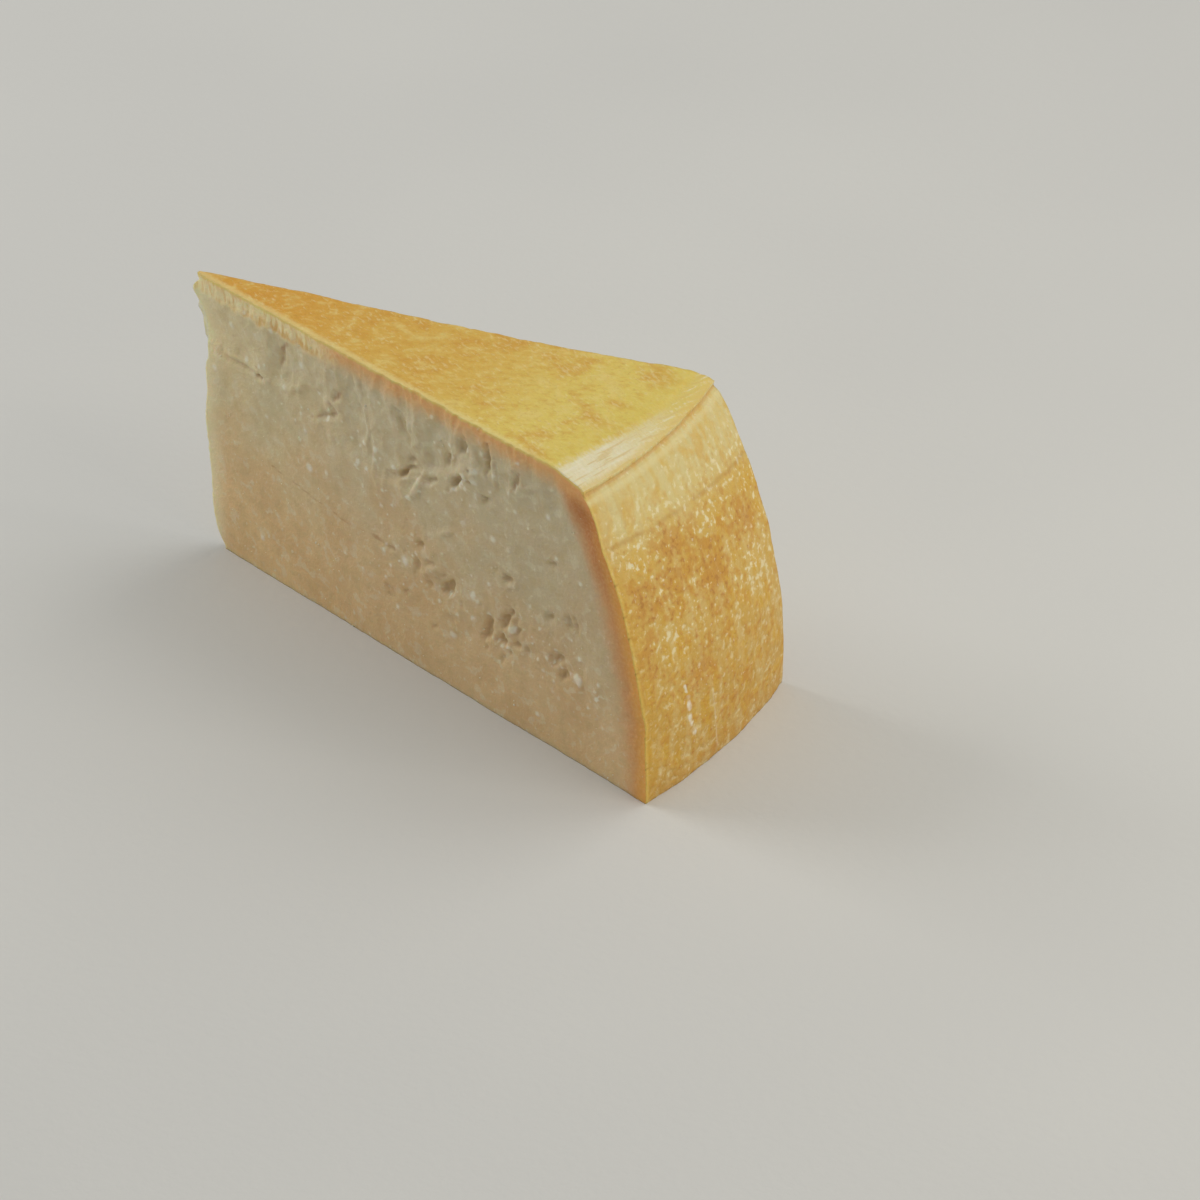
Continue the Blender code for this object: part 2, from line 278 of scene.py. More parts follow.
@dataclass(frozen=True)
class Wheel:
    """The wheel that the wedge was split from, its rim, and the two cuts through it."""

    widest_radius: float = 0.2162
    widest_up: float = 0.009
    barrel_radius: float = 0.163
    height: float = 0.110
    axis: Place = (-0.1068, 0.0005)
    near_cut: float = math.radians(-11.45)
    far_cut: float = math.radians(10.6)
    far_lean: float = math.radians(0.85)
    far_bend: float = 1.3
    far_flare: float = math.radians(1.2)
    flare_radii: Place = (0.10, 0.19)
    flare_heights: Place = (0.035, 0.110)
    edge_half_thickness: float = 0.0008
    rim_radius: float = 0.187
    facet_starts: Place = (0.1745, 0.180)
    facet_slope: float = 0.21
    lip_rounding: float = 0.003
    lip_drop: float = 0.0007
    lip_reach: float = 0.0005
    groove_below_lip: float = 0.0016
    groove_half_width: float = 0.0012
    groove_depth: float = 0.0006
    groove_top: float = 0.0004
    foot_reach: float = 0.0012
    foot_height: float = 0.05
    edge_waves: tuple[Wave, ...] = (Wave(0.012, 0.0006, 5.0), Wave(0.0024, 0.00035, 8.0))
    edge_features: tuple[tuple[float, float, float], ...] = metres(
        (107.5, 1.2, 0.8), (103.2, 3.2, -3), (96.4, 1.8, -1.4), (79.5, 4.8, 3.2), (65.5, 11, 1.1),
        (3, 6, 2.4), (0, 3.6, 2.6),
    )

    def far_angle(self, radius: Array, up: Array) -> Array:
        """Angle of the far cut, which leans out with height and flares out by the rim.

        Args:
            radius: Distance from the wheel's axis.
            up: Height above the base.

        Returns:
            Angles about the wheel's axis.
        """
        lean = self.far_lean * (up / self.height) ** self.far_bend
        flare = smooth_step(*self.flare_radii, radius) * smooth_step(*self.flare_heights, up)
        return self.far_cut + lean + self.far_flare * flare

    def turn(self, angle: Array) -> Array:
        """Share of the way from the near cut to the far cut, at most 1."""
        return np.minimum(1.0, (angle - self.near_cut) / (self.far_cut - self.near_cut))

    def facet_place(self, radius: Array, angle: Array) -> Array:
        """How far each point of the top lies past the start of the rim's facet.

        Args:
            radius: Distance from the wheel's axis.
            angle: Angle about the wheel's axis.

        Returns:
            Distances in metres, below 0 on the level part.
        """
        turn = self.turn(angle)
        along = mix(radius * np.cos(angle - self.near_cut), radius, turn)
        return along - mix(self.facet_starts[0], self.facet_starts[1], turn**2)

    def top_height(self, radius: Array, angle: Array) -> Array:
        """Height of the top rind: level, then the facet, then the rounded lip.

        Args:
            radius: Distance from the wheel's axis.
            angle: Angle about the wheel's axis.

        Returns:
            Heights above the base.
        """
        facet = self.facet_slope * np.maximum(0.0, self.facet_place(radius, angle))
        lip = smooth_step(self.rim_radius - self.lip_rounding, self.rim_radius, radius) ** 2
        return self.height - facet - self.lip_drop * lip

    def side_radius(self, up: Array, rim_height: Array) -> Array:
        """Radius of the barrel side, with the groove under the lip.

        Args:
            up: Height above the base.
            rim_height: Height of the rim at the same angle.

        Returns:
            Distances from the wheel's axis.
        """
        radius = self.widest_radius - (up - self.widest_up) ** 2 / (2.0 * self.barrel_radius)
        groove = rim_height - self.groove_below_lip
        radius = radius - self.groove_depth * bell(up - groove, self.groove_half_width)
        return radius + self.lip_reach * smooth_step(groove, rim_height - self.groove_top, up)

    def front_radius(self, up: Array) -> Array:
        """Distance of the thin front edge from the wheel's axis, with its flakes and notches.

        Args:
            up: Height above the base.

        Returns:
            Distances from the wheel's axis.
        """
        radius = self.foot_reach * (1.0 - smooth_step(0.0, self.foot_height, up))
        for wave in self.edge_waves:
            radius = radius + wave.read(np.zeros_like(up), up)
        for middle, half_height, reach in self.edge_features:
            radius = radius + reach * bell(up - middle, half_height)
        return radius


@dataclass(frozen=True)
class TornSide:
    """Torn side, split along the grain of the curd: waves, crags, flutes, scales and grains."""

    seed: float
    hollows: tuple[Hollow, ...]
    small_pits: int
    pit_line: tuple[Place, ...]
    pit_scatter: float = 0.009
    pit_sizes: Place = (0.0006, 0.0015)
    pit_shapes: Place = (0.9, 2.2)
    pit_leans: Place = (-20.0, 90.0)
    pit_depths: Place = (0.3, 0.6)
    broad: Wave = Wave(0.045, 0.0008, 0.0)
    crag: Wave = Wave(0.0125, 0.00078, 20.0)
    crag_shares: Place = (0.5, 1.3)
    flute: Wave = Wave(0.0085, 0.0015, 40.0, tall=3.0)
    flute_heights: Place = (0.072, 0.092)
    scale: Wave = Wave(0.0050, 1.0, 80.0, tall=1.4)
    scale_height: float = 0.00036
    scale_ridge: float = 1.4
    # Real grains of curd are about half a millimetre: drawn coarser, as the photograph's scale of
    # about three pixels a millimetre would blur them away
    grain: Wave = Wave(0.0021, 0.00010, 90.0)
    grain_least: float = 0.5
    rough: Wave = Wave(0.030, 0.35, 60.0)
    rough_middle: float = 0.45
    outline: tuple[Wave, ...] = (Wave(0.0036, 0.55, 0.0), Wave(0.0017, 0.40, 0.0))
    lip_breaks: Wave = Wave(0.0042, 1.0, 30.0)
    lip_break_range: Place = (-0.25, 0.55)
    lip_height: float = 0.10
    ridge_start: float = 0.45
    ridge_bright: float = 0.25
    lip_bright: float = 0.45
    knob_bright: float = 0.55
    calm_start: float = 0.098
    calm_share: float = 0.7
    calm_base: float = 0.008
    full_hollow: float = 0.0018
    full_ridge: float = 0.0011

    def roughness_share(self, along: Array, up: Array) -> Array:
        """How craggy the side is at each point, from 0 to 1."""
        return self.rough_middle + self.rough.read(along, up, self.seed)

    def scattered_pits(self) -> tuple[Hollow, ...]:
        """Small pits strewn about the pit line by a seeded draw.

        Returns:
            The pits.
        """
        draw = np.random.default_rng(int(self.seed * 10))
        pits = []
        for _ in range(self.small_pits):
            along = draw.uniform(self.pit_line[0][0], self.pit_line[-1][0])
            up = line_at(self.pit_line, along) + draw.normal(0.0, self.pit_scatter)
            size = mix(*self.pit_sizes, draw.random() ** 2)
            shape = draw.uniform(*self.pit_shapes)
            lean = draw.uniform(*self.pit_leans)
            depth = size * draw.uniform(*self.pit_depths)
            pits.append(Hollow(along, up, size * shape, size, depth, lean))
        return tuple(pits)

    def relief(self, along: Array, up: Array, wheel: Wheel) -> Relief:
        """Work out the side's relief and its masks.

        Args:
            along: Distance of each grid point from the wheel's axis.
            up: Height of each grid point.
            wheel: The wheel, for its height.

        Returns:
            The relief, on the same grid.
        """
        rough = self.roughness_share(along, up)
        out = self.broad.read(along, up, self.seed)
        crags = self.crag.read(along, up, self.seed)
        out = out + mix(*self.crag_shares, np.minimum(1.0, rough)) * crags
        flutes = smooth_step(*self.flute_heights, up)
        out = out + flutes * self.flute.read(along, up, self.seed)
        calm = 1.0 - self.calm_share * smooth_step(self.calm_start, wheel.height, up)
        calm = calm * mix(1.0 - self.calm_share, 1.0, smooth_step(0.0, self.calm_base, up))
        scales = self.scale.read(along, up, self.seed)
        ridged = (1.0 - np.abs(scales)) ** 4
        out = out * calm + self.scale_height * rough * (scales + self.scale_ridge * ridged)
        out = out + (self.grain_least + rough) * self.grain.read(along, up, self.seed)
        # hollow carries painted shade on the floors of pits, and bright painted highlights on ridge
        # crests, pit lips and knobs
        hollow = np.zeros_like(out)
        bright = self.ridge_bright * rough * smooth_step(self.ridge_start, 1.0, ridged)
        uneven = 1.0 + sum(wave.read(along, up, self.seed) for wave in self.outline)
        broken = smooth_step(*self.lip_break_range, self.lip_breaks.read(along, up, self.seed))
        for spot in self.hollows + self.scattered_pits():
            inside, lip = spot.inside(along, up, uneven)
            out = out - spot.depth * inside
            if spot.depth > 0.0:
                strength = min(1.0, spot.depth / self.full_hollow)
                out = out + self.lip_height * spot.depth * lip * broken
                hollow = np.maximum(hollow, inside * strength)
                bright = bright + self.lip_bright * lip * strength * broken
            else:
                strength = min(1.0, -spot.depth / self.full_ridge)
                bright = bright + self.knob_bright * inside * strength
        return Relief(out, hollow, bright, np.zeros_like(out), np.zeros_like(out))


@dataclass(frozen=True)
class NearSide(TornSide):
    """Side that shows most: a torn hollow above a ledge, frayed rind, crystals, hairlines, and
    folds and cracks with painted shade.
    """

    ledge: tuple[Place, ...] = metres(
        (0, 80.5), (45, 82), (70, 74), (90, 67), (106, 68), (113, 79), (133, 89), (165, 96),
    )
    ledge_wobble: Wave = Wave(0.008, 0.0015, 3.0)
    ledge_depth: float = 0.0011
    ledge_step: float = 0.0040
    ledge_fade: float = 0.106
    ledge_fade_start: float = 0.3
    ledge_end: Place = (0.125, 0.160)
    near_rough: Wave = Wave(0.013, 0.5, 60.0)
    near_rough_middle: float = 0.75
    torn_starts: Place = (0.030, 0.070)
    torn_ends: Place = (0.150, 0.175)
    torn_reach: float = 0.006
    pitted_share: float = 0.7
    pitted_half_height: float = 0.014
    pitted_blend: Place = (0.008, 0.004)
    calm_rough: float = 0.22
    crevice: Trace = trace(
        1.1, (97.5, 72.2), (101.2, 73.8), (105, 78.2), (111, 78.8), (117.5, 79.6), (124, 80.6),
        (129, 85), (134.5, 87.2), (142, 83.2),
    )
    crevice_depth: float = 0.0008
    crevice_dark: float = 0.8
    crevice_wander: tuple[Wave, ...] = (Wave(0.0060, 0.0022, 15.0), Wave(0.0024, 0.0012, 15.0))
    crevice_breaks: Wave = Wave(0.0055, 1.0, 19.0)
    crevice_break_range: Place = (-0.35, 0.25)
    spill_drop: float = 0.0026
    spill_height: float = 0.0003
    spill_bright: float = 0.8
    spill_breaks: Wave = Wave(0.0024, 1.0, 21.0)
    spill_break_range: Place = (0.0, 0.5)
    frayed_height: float = 0.006
    frayed_depth: float = 0.00032
    frayed_length: float = 0.078
    frayed_fade: float = 0.030
    frayed_blend: Place = (0.0010, 0.0018)
    frayed_hem: Wave = Wave(0.0042, 0.0022, 9.0, tall=3.0)
    fibres: tuple[Wave, ...] = (Wave(0.0018, 1.0, 7.0, tall=4.0), Wave(0.004, 0.7, 7.0, tall=4.0))
    fibre_depth: float = 1.1
    fibre_shade: Place = (0.85, 0.4)
    skin: float = 0.0015
    skin_blend: Place = (0.003, 0.001)
    stain_breaks: Wave = Wave(0.0030, 0.6, 12.0)
    stain_middle: float = 0.75
    crystal_height: float = 0.00018
    crystal_bright: float = 1.1
    crystal_outline: float = 0.35
    crystal_wave: float = 1.2
    spot_level: float = 2.0
    spot_share: float = 0.8
    crumb_height: float = 0.00015
    crumb_outline: Wave = Wave(0.0010, 0.6, 2.0)
    # The first four are brown hairlines; the rest hold painted shade in folds, cracks and small
    # hollows
    stains: tuple[Trace, ...] = (
        trace(0.5, (34, 47.5), (40, 46.2)),
        trace(0.5, (45, 46.2), (53, 44.8), (60, 44)),
        trace(0.5, (66, 43.6), (70, 42.8), (82, 43.2)),
        trace(0.9, (86, 44), (97, 43)),
        trace(1, (46, 101), (42, 97), (41, 90)),
        trace(1, (72.5, 93.5), (68.5, 88.5)),
        trace(0.8, (28, 81), (31, 81.5)),
        trace(0.6, (27.8, 84.3), (28.8, 84.6)),
        trace(0.7, (57, 77.5), (64, 80.5), (69, 83.5)),
        trace(0.8, (154.5, 92), (157, 96), (159, 101)),
    )
    crystals: tuple[tuple[float, float, float], ...] = metres(
        (15.8, 95.6, 1.8), (52.5, 95.5, 2.3), (33.5, 87.6, 0.8), (48, 72, 0.9), (51, 76, 1),
        (32.6, 66.6, 1.2), (6.8, 75.5, 1.6), (54.7, 55.9, 2.1), (63.7, 58.1, 1.3),
        (40.8, 85.6, 0.8), (22, 84.2, 1.5), (30, 85.6, 1.2), (24, 104, 1.2), (38, 102.8, 1.4),
        (89, 82.2, 0.6), (89.5, 79, 1.6), (83, 78.4, 1.2), (104.5, 96.4, 0.7), (92, 98, 0.9),
        (118, 94, 0.8), (118, 104.2, 1), (131, 78.2, 0.8), (135, 77.6, 0.9), (138, 88, 1.6),
        (145.5, 69.4, 1.8), (152, 84, 0.8), (156, 84.8, 1.2), (158.5, 104.6, 0.9), (162, 81.2, 0.8),
        (170.8, 89.4, 1.5), (174.5, 75.5, 1.2), (185.6, 71.2, 1.3), (72, 29.9, 1.1), (81, 28, 0.9),
        (98.5, 20.8, 1.3), (125.3, 21.9, 1.8), (135.5, 42.5, 1.9), (143.4, 51.2, 1.1),
        (167, 44.8, 1), (170.5, 35.5, 1.1), (185.6, 33.7, 1.8), (165.6, 9.9, 1.4),
        (102.4, 40.7, 2.4), (108.4, 46.5, 1), (147.5, 22.2, 0.9), (27, 14.9, 1.5),
        (193.5, 33.8, 0.7),
    )
    crumbs: int = 110
    crumb_reach: tuple[Place, Place] = ((0.090, 0.196), (0.036, 0.160))
    crumb_scatter: float = 0.006
    crumb_sizes: Place = (0.0005, 0.0012)

    def scattered_crumbs(self) -> list[tuple[float, float, float]]:
        """Places and sizes of pale crumbs, strewn by turns about the pits and the ledge.

        Returns:
            Distance from the wheel's axis, height and size of each crumb.
        """
        draw = np.random.default_rng(int(self.seed * 10) + 1)
        crumbs = []
        for number in range(self.crumbs):
            line = (self.pit_line, self.ledge)[number % 2]
            along = draw.uniform(*self.crumb_reach[number % 2])
            up = line_at(line, along) + draw.normal(0.0, self.crumb_scatter)
            crumbs.append((along, up, draw.uniform(*self.crumb_sizes)))
        return crumbs

    def ledge_height(self, along: Array) -> Array:
        """Height of the ledge's uneven lip at each distance from the axis."""
        return line_at(self.ledge, along) + self.ledge_wobble.read(along, np.zeros_like(along))

    def roughness_share(self, along: Array, up: Array) -> Array:
        """How craggy the side is: rough in the torn hollow and about the pits, calm elsewhere.

        Args:
            along: Distance of each grid point from the wheel's axis.
            up: Height of each grid point.

        Returns:
            Shares from 0 to about 1.
        """
        lip = self.ledge_height(along)
        torn = smooth_step(lip - self.torn_reach, lip, up) * smooth_step(*self.torn_starts, along)
        torn = torn * (1.0 - smooth_step(*self.torn_ends, along))
        pitted = bell(up - line_at(self.pit_line, along), self.pitted_half_height)
        start = self.pit_line[0][0]
        before, after = self.pitted_blend
        pitted = pitted * smooth_step(start - before, start + after, along)
        uneven = self.near_rough_middle + self.near_rough.read(along, up, self.seed)
        return self.calm_rough + np.maximum(torn, self.pitted_share * pitted) * uneven

    def relief(self, along: Array, up: Array, wheel: Wheel) -> Relief:
        """Add the ledge, the frayed band, the crystals, the hairlines and the painted shade of
        folds and cracks to the torn relief.

        Args:
            along: Distance of each grid point from the wheel's axis.
            up: Height of each grid point.
            wheel: The wheel, for its height.

        Returns:
            The relief, on the same grid.
        """
        torn = super().relief(along, up, wheel)
        lip = self.ledge_height(along)
        above = smooth_step(lip, lip + self.ledge_step, up)
        fade = mix(lip, self.ledge_fade, self.ledge_fade_start)
        below_rind = 1.0 - smooth_step(fade, self.ledge_fade, up)
        inner = 1.0 - smooth_step(*self.ledge_end, along)
        torn.out = torn.out - self.ledge_depth * above * below_rind * inner
        self.add_crevice(torn, along, up)
        self.add_frayed_band(torn, along, up, wheel)
        # Brown hairlines, and painted shade in folds, cracks and small hollows, broken up by noise
        broken = self.stain_middle + self.stain_breaks.read(along, up)
        for stain in self.stains:
            torn.stain = np.maximum(torn.stain, stain.share(along, up) * broken)
        for middle, height, size in self.crystals:
            # Each crystal's outline is uneven at a scale of its own
            outline = Wave(self.crystal_wave * size, self.crystal_outline, self.spot_level)
            uneven = 1.0 + outline.read(along, up)
            crystal = bell(np.hypot(along - middle, up - height) * uneven, self.spot_share * size)
            torn.out = torn.out + self.crystal_height * crystal
            torn.bright = torn.bright + self.crystal_bright * crystal
        uneven = 1.0 + self.crumb_outline.read(along, up)
        for middle, height, size in self.scattered_crumbs():
            crumb = bell(np.hypot(along - middle, up - height) * uneven, self.spot_share * size)
            torn.out = torn.out + self.crumb_height * crumb
            torn.bright = torn.bright + self.crystal_bright * crumb
        return torn

    def add_crevice(self, torn: Relief, along: Array, up: Array) -> None:
        """Cut the crevice along the ledge's lip, paint shade into it, and spill crumbs below it.

        Args:
            torn: The relief that it is added to.
            along: Distance of each grid point from the wheel's axis.
            up: Height of each grid point.
        """
        path = up + sum(wave.read(along, up) for wave in self.crevice_wander)
        broken = smooth_step(*self.crevice_break_range, self.crevice_breaks.read(along, up))
        crevice = self.crevice.share(along, path) * broken
        torn.out = torn.out - self.crevice_depth * crevice
        # Painted shade along the crevice
        torn.hollow = np.maximum(torn.hollow, self.crevice_dark * crevice)
        crumbs = self.crevice.share(along, path + self.spill_drop)
        crumbs = crumbs * smooth_step(*self.spill_break_range, self.spill_breaks.read(along, up))
        torn.out = torn.out + self.spill_height * crumbs
        torn.bright = torn.bright + self.spill_bright * crumbs

    def add_frayed_band(self, torn: Relief, along: Array, up: Array, wheel: Wheel) -> None:
        """Fray the top rind's edge into fibres, near the thin front edge.

        Args:
            torn: The relief that it is added to.
            along: Distance of each grid point from the wheel's axis.
            up: Height of each grid point.
            wheel: The wheel, for its height.
        """
        hem = wheel.height - self.skin - self.frayed_height + self.frayed_hem.read(along, up)
        frayed = smooth_step(hem - self.frayed_blend[0], hem + self.frayed_blend[1], up)
        fade_start = self.frayed_length - self.frayed_fade
        frayed = frayed * (1.0 - smooth_step(fade_start, self.frayed_length, along))
        skin_start, skin_full = (wheel.height - drop for drop in self.skin_blend)
        recessed = frayed * (1.0 - smooth_step(skin_start, skin_full, up))
        fibres = sum(wave.read(along, up) for wave in self.fibres)
        torn.out = torn.out - self.frayed_depth * recessed * (1.0 + self.fibre_depth * fibres)
        torn.frayed = frayed * (self.fibre_shade[0] + self.fibre_shade[1] * fibres)


class Face(IntEnum):
    """Material index of each kind of face."""

    PASTE = 0
    TOP_RIND = 1
    SIDE_RIND = 2


@dataclass(frozen=True)
class SideRindMarks:
    """Marks pressed, rubbed and cut into the barrel side, placed by their arc from the near cut."""

    crust: Wave = Wave(0.0024, 0.00013, 14.0)
    lumps: Wave = Wave(0.011, 0.00035, 4.0)
    streaks: Wave = Wave(0.006, 0.00010, 24.0, tall=6.0)
    smooth_heights: Place = (0.082, 0.088)
    smooth_share: float = 0.75
    seam: tuple[Place, ...] = ((0.0, 0.0886), (0.040, 0.0868), (0.084, 0.0848))
    seam_half_width: float = 0.0008
    seam_depth: float = 0.00016
    nick_heights: tuple[float, ...] = (0.078, 0.068, 0.061, 0.049, 0.037, 0.026, 0.014)
    nick_reach: Place = (0.0009, 0.0030)
    nick_half_width: float = 0.0005
    nick_depth: float = 0.0002
    teeth: Wave = Wave(0.0018, 0.0005, 34.0)
    teeth_height: float = 0.0022
    weal: Trace = trace(0.7, (34, 27), (35, 15), (36.2, 3.6))
    weal_height: float = 0.0003
    weal_pale: float = 0.45
    scuff_breaks: Wave = Wave(0.0022, 0.7, 44.0)
    scuff_middle: float = 0.7
    scuffs: tuple[Trace, ...] = (
        trace(0.7, (20.6, 35.2), (21, 33)),
        trace(1.2, (21.2, 30.5), (21.7, 26.2)),
        trace(1.1, (21.9, 23.5), (22.6, 20)),
        trace(1.3, (23, 18), (24, 16.2)),
    )
    patches: tuple[Patch, ...] = rows_as(
        Patch,
        (9, 71, 8, 9, 0.8), (30, 80, 8, 13, 1), (19, 64, 10, 8, 0.6), (47, 66, 9, 17, 1),
        (7, 49, 6, 8, 0.8), (29, 37, 9, 8, 0.7), (71, 70, 9, 8, 0.8), (49, 18, 12, 9, 0.5),
        (12, 99, 9, 5, 0.6), (62, 98, 10, 5, 0.4), (49, 79, 6, 3, -1.2), (11, 79, 6, 5, -0.8),
        (17, 55, 5, 9, -0.6), (70, 51, 7, 7, -0.7), (36, 90, 12, 6, -0.5),
    )

    def out(self, arc: Array, up: Array) -> Array:
        """How far the marks stand out of the barrel side.

        Args:
            arc: Distance round the side from the near cut.
            up: Height above the base.

        Returns:
            Heights of the marks, below 0 where they are cut in.
        """
        mottled = 1.0 - self.smooth_share * smooth_step(*self.smooth_heights, up)
        out = self.lumps.read(arc, up) + mottled * self.crust.read(arc, up)
        out = out + self.streaks.read(arc, up)
        out = out - self.seam_depth * bell(up - line_at(self.seam, arc), self.seam_half_width)
        out = out - self.nick_depth * self.nicks(arc, up)
        out = out + self.weal_height * self.weal.share(arc, up)
        teeth = np.abs(self.teeth.read(arc, np.zeros_like(arc)))
        return out - teeth * (1.0 - smooth_step(0.0, self.teeth_height, up))

    def nicks(self, arc: Array, up: Array) -> Array:
        """1 in the short nicks that start at the near cut, 0 away from them.

        Args:
            arc: Distance round the side from the near cut.
            up: Height above the base.

        Returns:
            Shares from 0 to 1.
        """
        share = np.zeros_like(arc)
        for height in self.nick_heights:
            share = share + bell(up - height, self.nick_half_width)
        return share * (1.0 - smooth_step(*self.nick_reach, arc))

    def patch_share(self, arc: Array, up: Array) -> Array:
        """Sum of the soft patches: above 0 where the rind is oranger, below 0 where paler.

        Args:
            arc: Distance round the side from the near cut.
            up: Height above the base.

        Returns:
            The patches' strength at each point.
        """
        total = np.zeros_like(arc)
        for patch in self.patches:
            across = (arc - patch.along) / patch.half_length
            above = (up - patch.up) / patch.half_height
            total = total + patch.strength * np.exp(-(across**2) - above**2)
        return total

    def scuff_share(self, arc: Array, up: Array) -> Array:
        """1 on the pale scuffs, under half of that on the weal, 0 away from them.

        Args:
            arc: Distance round the side from the near cut.
            up: Height above the base.

        Returns:
            Shares from 0 to 1.
        """
        broken = self.scuff_middle + self.scuff_breaks.read(arc, up)
        share = self.weal_pale * self.weal.share(arc, up)
        for scuff in self.scuffs:
            share = np.maximum(share, scuff.share(arc, up) * broken)
        return np.clip(share, 0.0, 1.0)


@dataclass
class WedgeSurface:
    """Closed surface of the wedge, gridded finely where it shows most.

    A grid point is named by its column from the front edge to the side rind, its slice from the
    near side to the far side, and its row from the base to the top rind.
    """

    wheel: Wheel
    near: TornSide
    far: TornSide
    marks: SideRindMarks
    column_size: float = 0.00076
    row_size: float = 0.00080
    rim_size: float = 0.00042
    rim_zone: float = 0.0055
    slices: int = 96
    fan_radii: tuple[float, ...] = (0.007, 0.014, 0.028, 0.055, 0.110)
    far_stride: int = 2
    base_strip: int = 8
    edge_start: float = 0.985
    top_waves: tuple[Wave, ...] = (Wave(0.016, 0.0002, 6.0), Wave(0.0016, 0.00003, 17.0))
    top_fibres: Wave = Wave(0.0030, 0.00005, 16.0, tall=2.5)
    fibre_slant: float = 0.6
    chips: Wave = Wave(0.0028, 0.0004, 18.0)
    chip_reach: float = 0.0015
    groove_shade: float = 0.8
    # Distance in millimetres that keeps one side's patterns apart from the other's
    sides_apart: float = 400.0
    columns: Array = field(init=False)
    rows: Array = field(init=False)
    points: dict[tuple[int, int, int], int] = field(init=False, default_factory=dict)

    def __post_init__(self) -> None:
        """Spread the grid's columns and rows."""
        self.columns = self.spread(self.wheel.widest_radius, self.column_size)
        self.rows = self.spread(self.wheel.height, self.row_size)

    def spread(self, length: float, size: float) -> Array:
        """Places from 0 to 1 along a length that ends at the rim, closer together near the rim.

        Args:
            length: The whole length.
            size: Distance between places away from the rim.

        Returns:
            The places, an even number of steps apart in all.
        """
        plain = 2 * round((length - self.rim_zone) / size / 2)
        close = 2 * round(self.rim_zone / self.rim_size / 2)
        start = (length - self.rim_zone) / length
        return np.concatenate([np.linspace(0.0, start, plain, endpoint=False),
                               np.linspace(start, 1.0, close + 1)])

    def point(self, column: int, cut: int, row: int) -> int:
        """Number of a grid point, which is added the first time that it is asked for."""
        return self.points.setdefault((column, cut, row), len(self.points))

    def side_faces(self, cut: int, stride: int) -> list[tuple[int, ...]]:
        """Faces of a cut side, with every grid point on its outline and every stride-th inside.

        Args:
            cut: Slice of the side.
            stride: 1 for the full grid, 2 for half of it each way.

        Returns:
            Faces as point numbers.
        """
        last_column = len(self.columns) - 1
        last_row = len(self.rows) - 1
        faces = []
        for left in range(0, last_column, stride):
            for low in range(0, last_row, stride):
                right = left + stride
                high = low + stride
                corners = ((left, low), (right, low), (right, high), (left, high))
                outer = (low == 0, right == last_column, high == last_row, left == 0)
                outline = []
                for corner, after, is_outer in zip(corners, corners[1:] + corners[:1], outer):
                    outline.append(corner)
                    if stride == 2 and is_outer:
                        outline.append(((corner[0] + after[0]) // 2, (corner[1] + after[1]) // 2))
                faces.append(tuple(self.point(column, cut, row) for column, row in outline))
        return faces

    def fan_stride(self, column: int) -> int:
        """Slices between points at a column: more by the front edge, where the wedge is thin."""
        radius = self.columns[column] * self.wheel.widest_radius
        return 2 ** sum(radius < limit for limit in self.fan_radii)

    @staticmethod
    def joined(inner: Sequence[int], outer: Sequence[int]) -> list[tuple[int, ...]]:
        """Faces between two rows of points, the outer of which may have twice as many steps.

        Args:
            inner: Point numbers of one row.
            outer: Point numbers of the other row.

        Returns:
            Faces as point numbers.
        """
        ratio = (len(outer) - 1) // (len(inner) - 1)
        faces = []
        for step in range(len(inner) - 1):
            part = outer[step * ratio : (step + 1) * ratio + 1]
            faces.append((inner[step + 1], inner[step], *part))
        return faces

    def top_faces(self) -> list[tuple[int, ...]]:
        """Faces of the top rind.

        Returns:
            Faces as point numbers.
        """
        top = len(self.rows) - 1
        faces = []
        rows = []
        for column in range(len(self.columns)):
            cuts = range(0, self.slices + 1, self.fan_stride(column))
            rows.append([self.point(column, cut, top) for cut in cuts])
        for inner, outer in zip(rows, rows[1:]):
            faces += self.joined(inner, outer)
        return faces

    def wall_faces(self, column: int, stride: int) -> list[tuple[int, ...]]:
        """Faces of the wall at one column: the front edge or the side rind.

        Args:
            column: The wall's column.
            stride: Slices between points.

        Returns:
            Faces as point numbers.
        """
        faces = []
        cuts = range(0, self.slices + 1, stride)
        rows = [[self.point(column, cut, row) for cut in cuts] for row in range(len(self.rows))]
        for lower, upper in zip(rows, rows[1:]):
            faces += self.joined(lower, upper)
        return faces

    def base_faces(self) -> list[tuple[int, ...]]:
        """Flat strips of the base, each straight across from the near side to the far side.

        Returns:
            Faces as point numbers.
        """
        last = len(self.columns) - 1
        strips = []
        for start in range(0, last, self.base_strip):
            end = min(last, start + self.base_strip)
            outer = self.slices if end < last else 1
            inner = self.slices if start > 0 else self.fan_stride(0)
            outline = [(column, 0) for column in range(start, end)]
            outline += [(end, cut) for cut in range(0, self.slices + 1, outer)]
            outline += [(column, self.slices) for column in range(end - 1, start, -1)]
            outline += [(start, cut) for cut in range(self.slices, 0, -inner)]
            strips.append(tuple(self.point(column, cut, 0) for column, cut in outline))
        return strips

    def side_grid(self, top_angle: float) -> tuple[Array, Array]:
        """Distance from the axis and height of every point of a cut side's grid.

        Args:
            top_angle: Angle of the cut at the top.

        Returns:
            The distances and the heights, by column and row.
        """
        inward = self.columns[:, None]
        upward = self.rows[None, :]
        up = upward * self.wheel.top_height(inward * self.wheel.rim_radius, np.array(top_angle))
        rim = self.wheel.top_height(np.array(self.wheel.rim_radius), np.array(top_angle))
        along = mix(self.wheel.front_radius(up), self.wheel.side_radius(up, rim), inward)
        return along, up

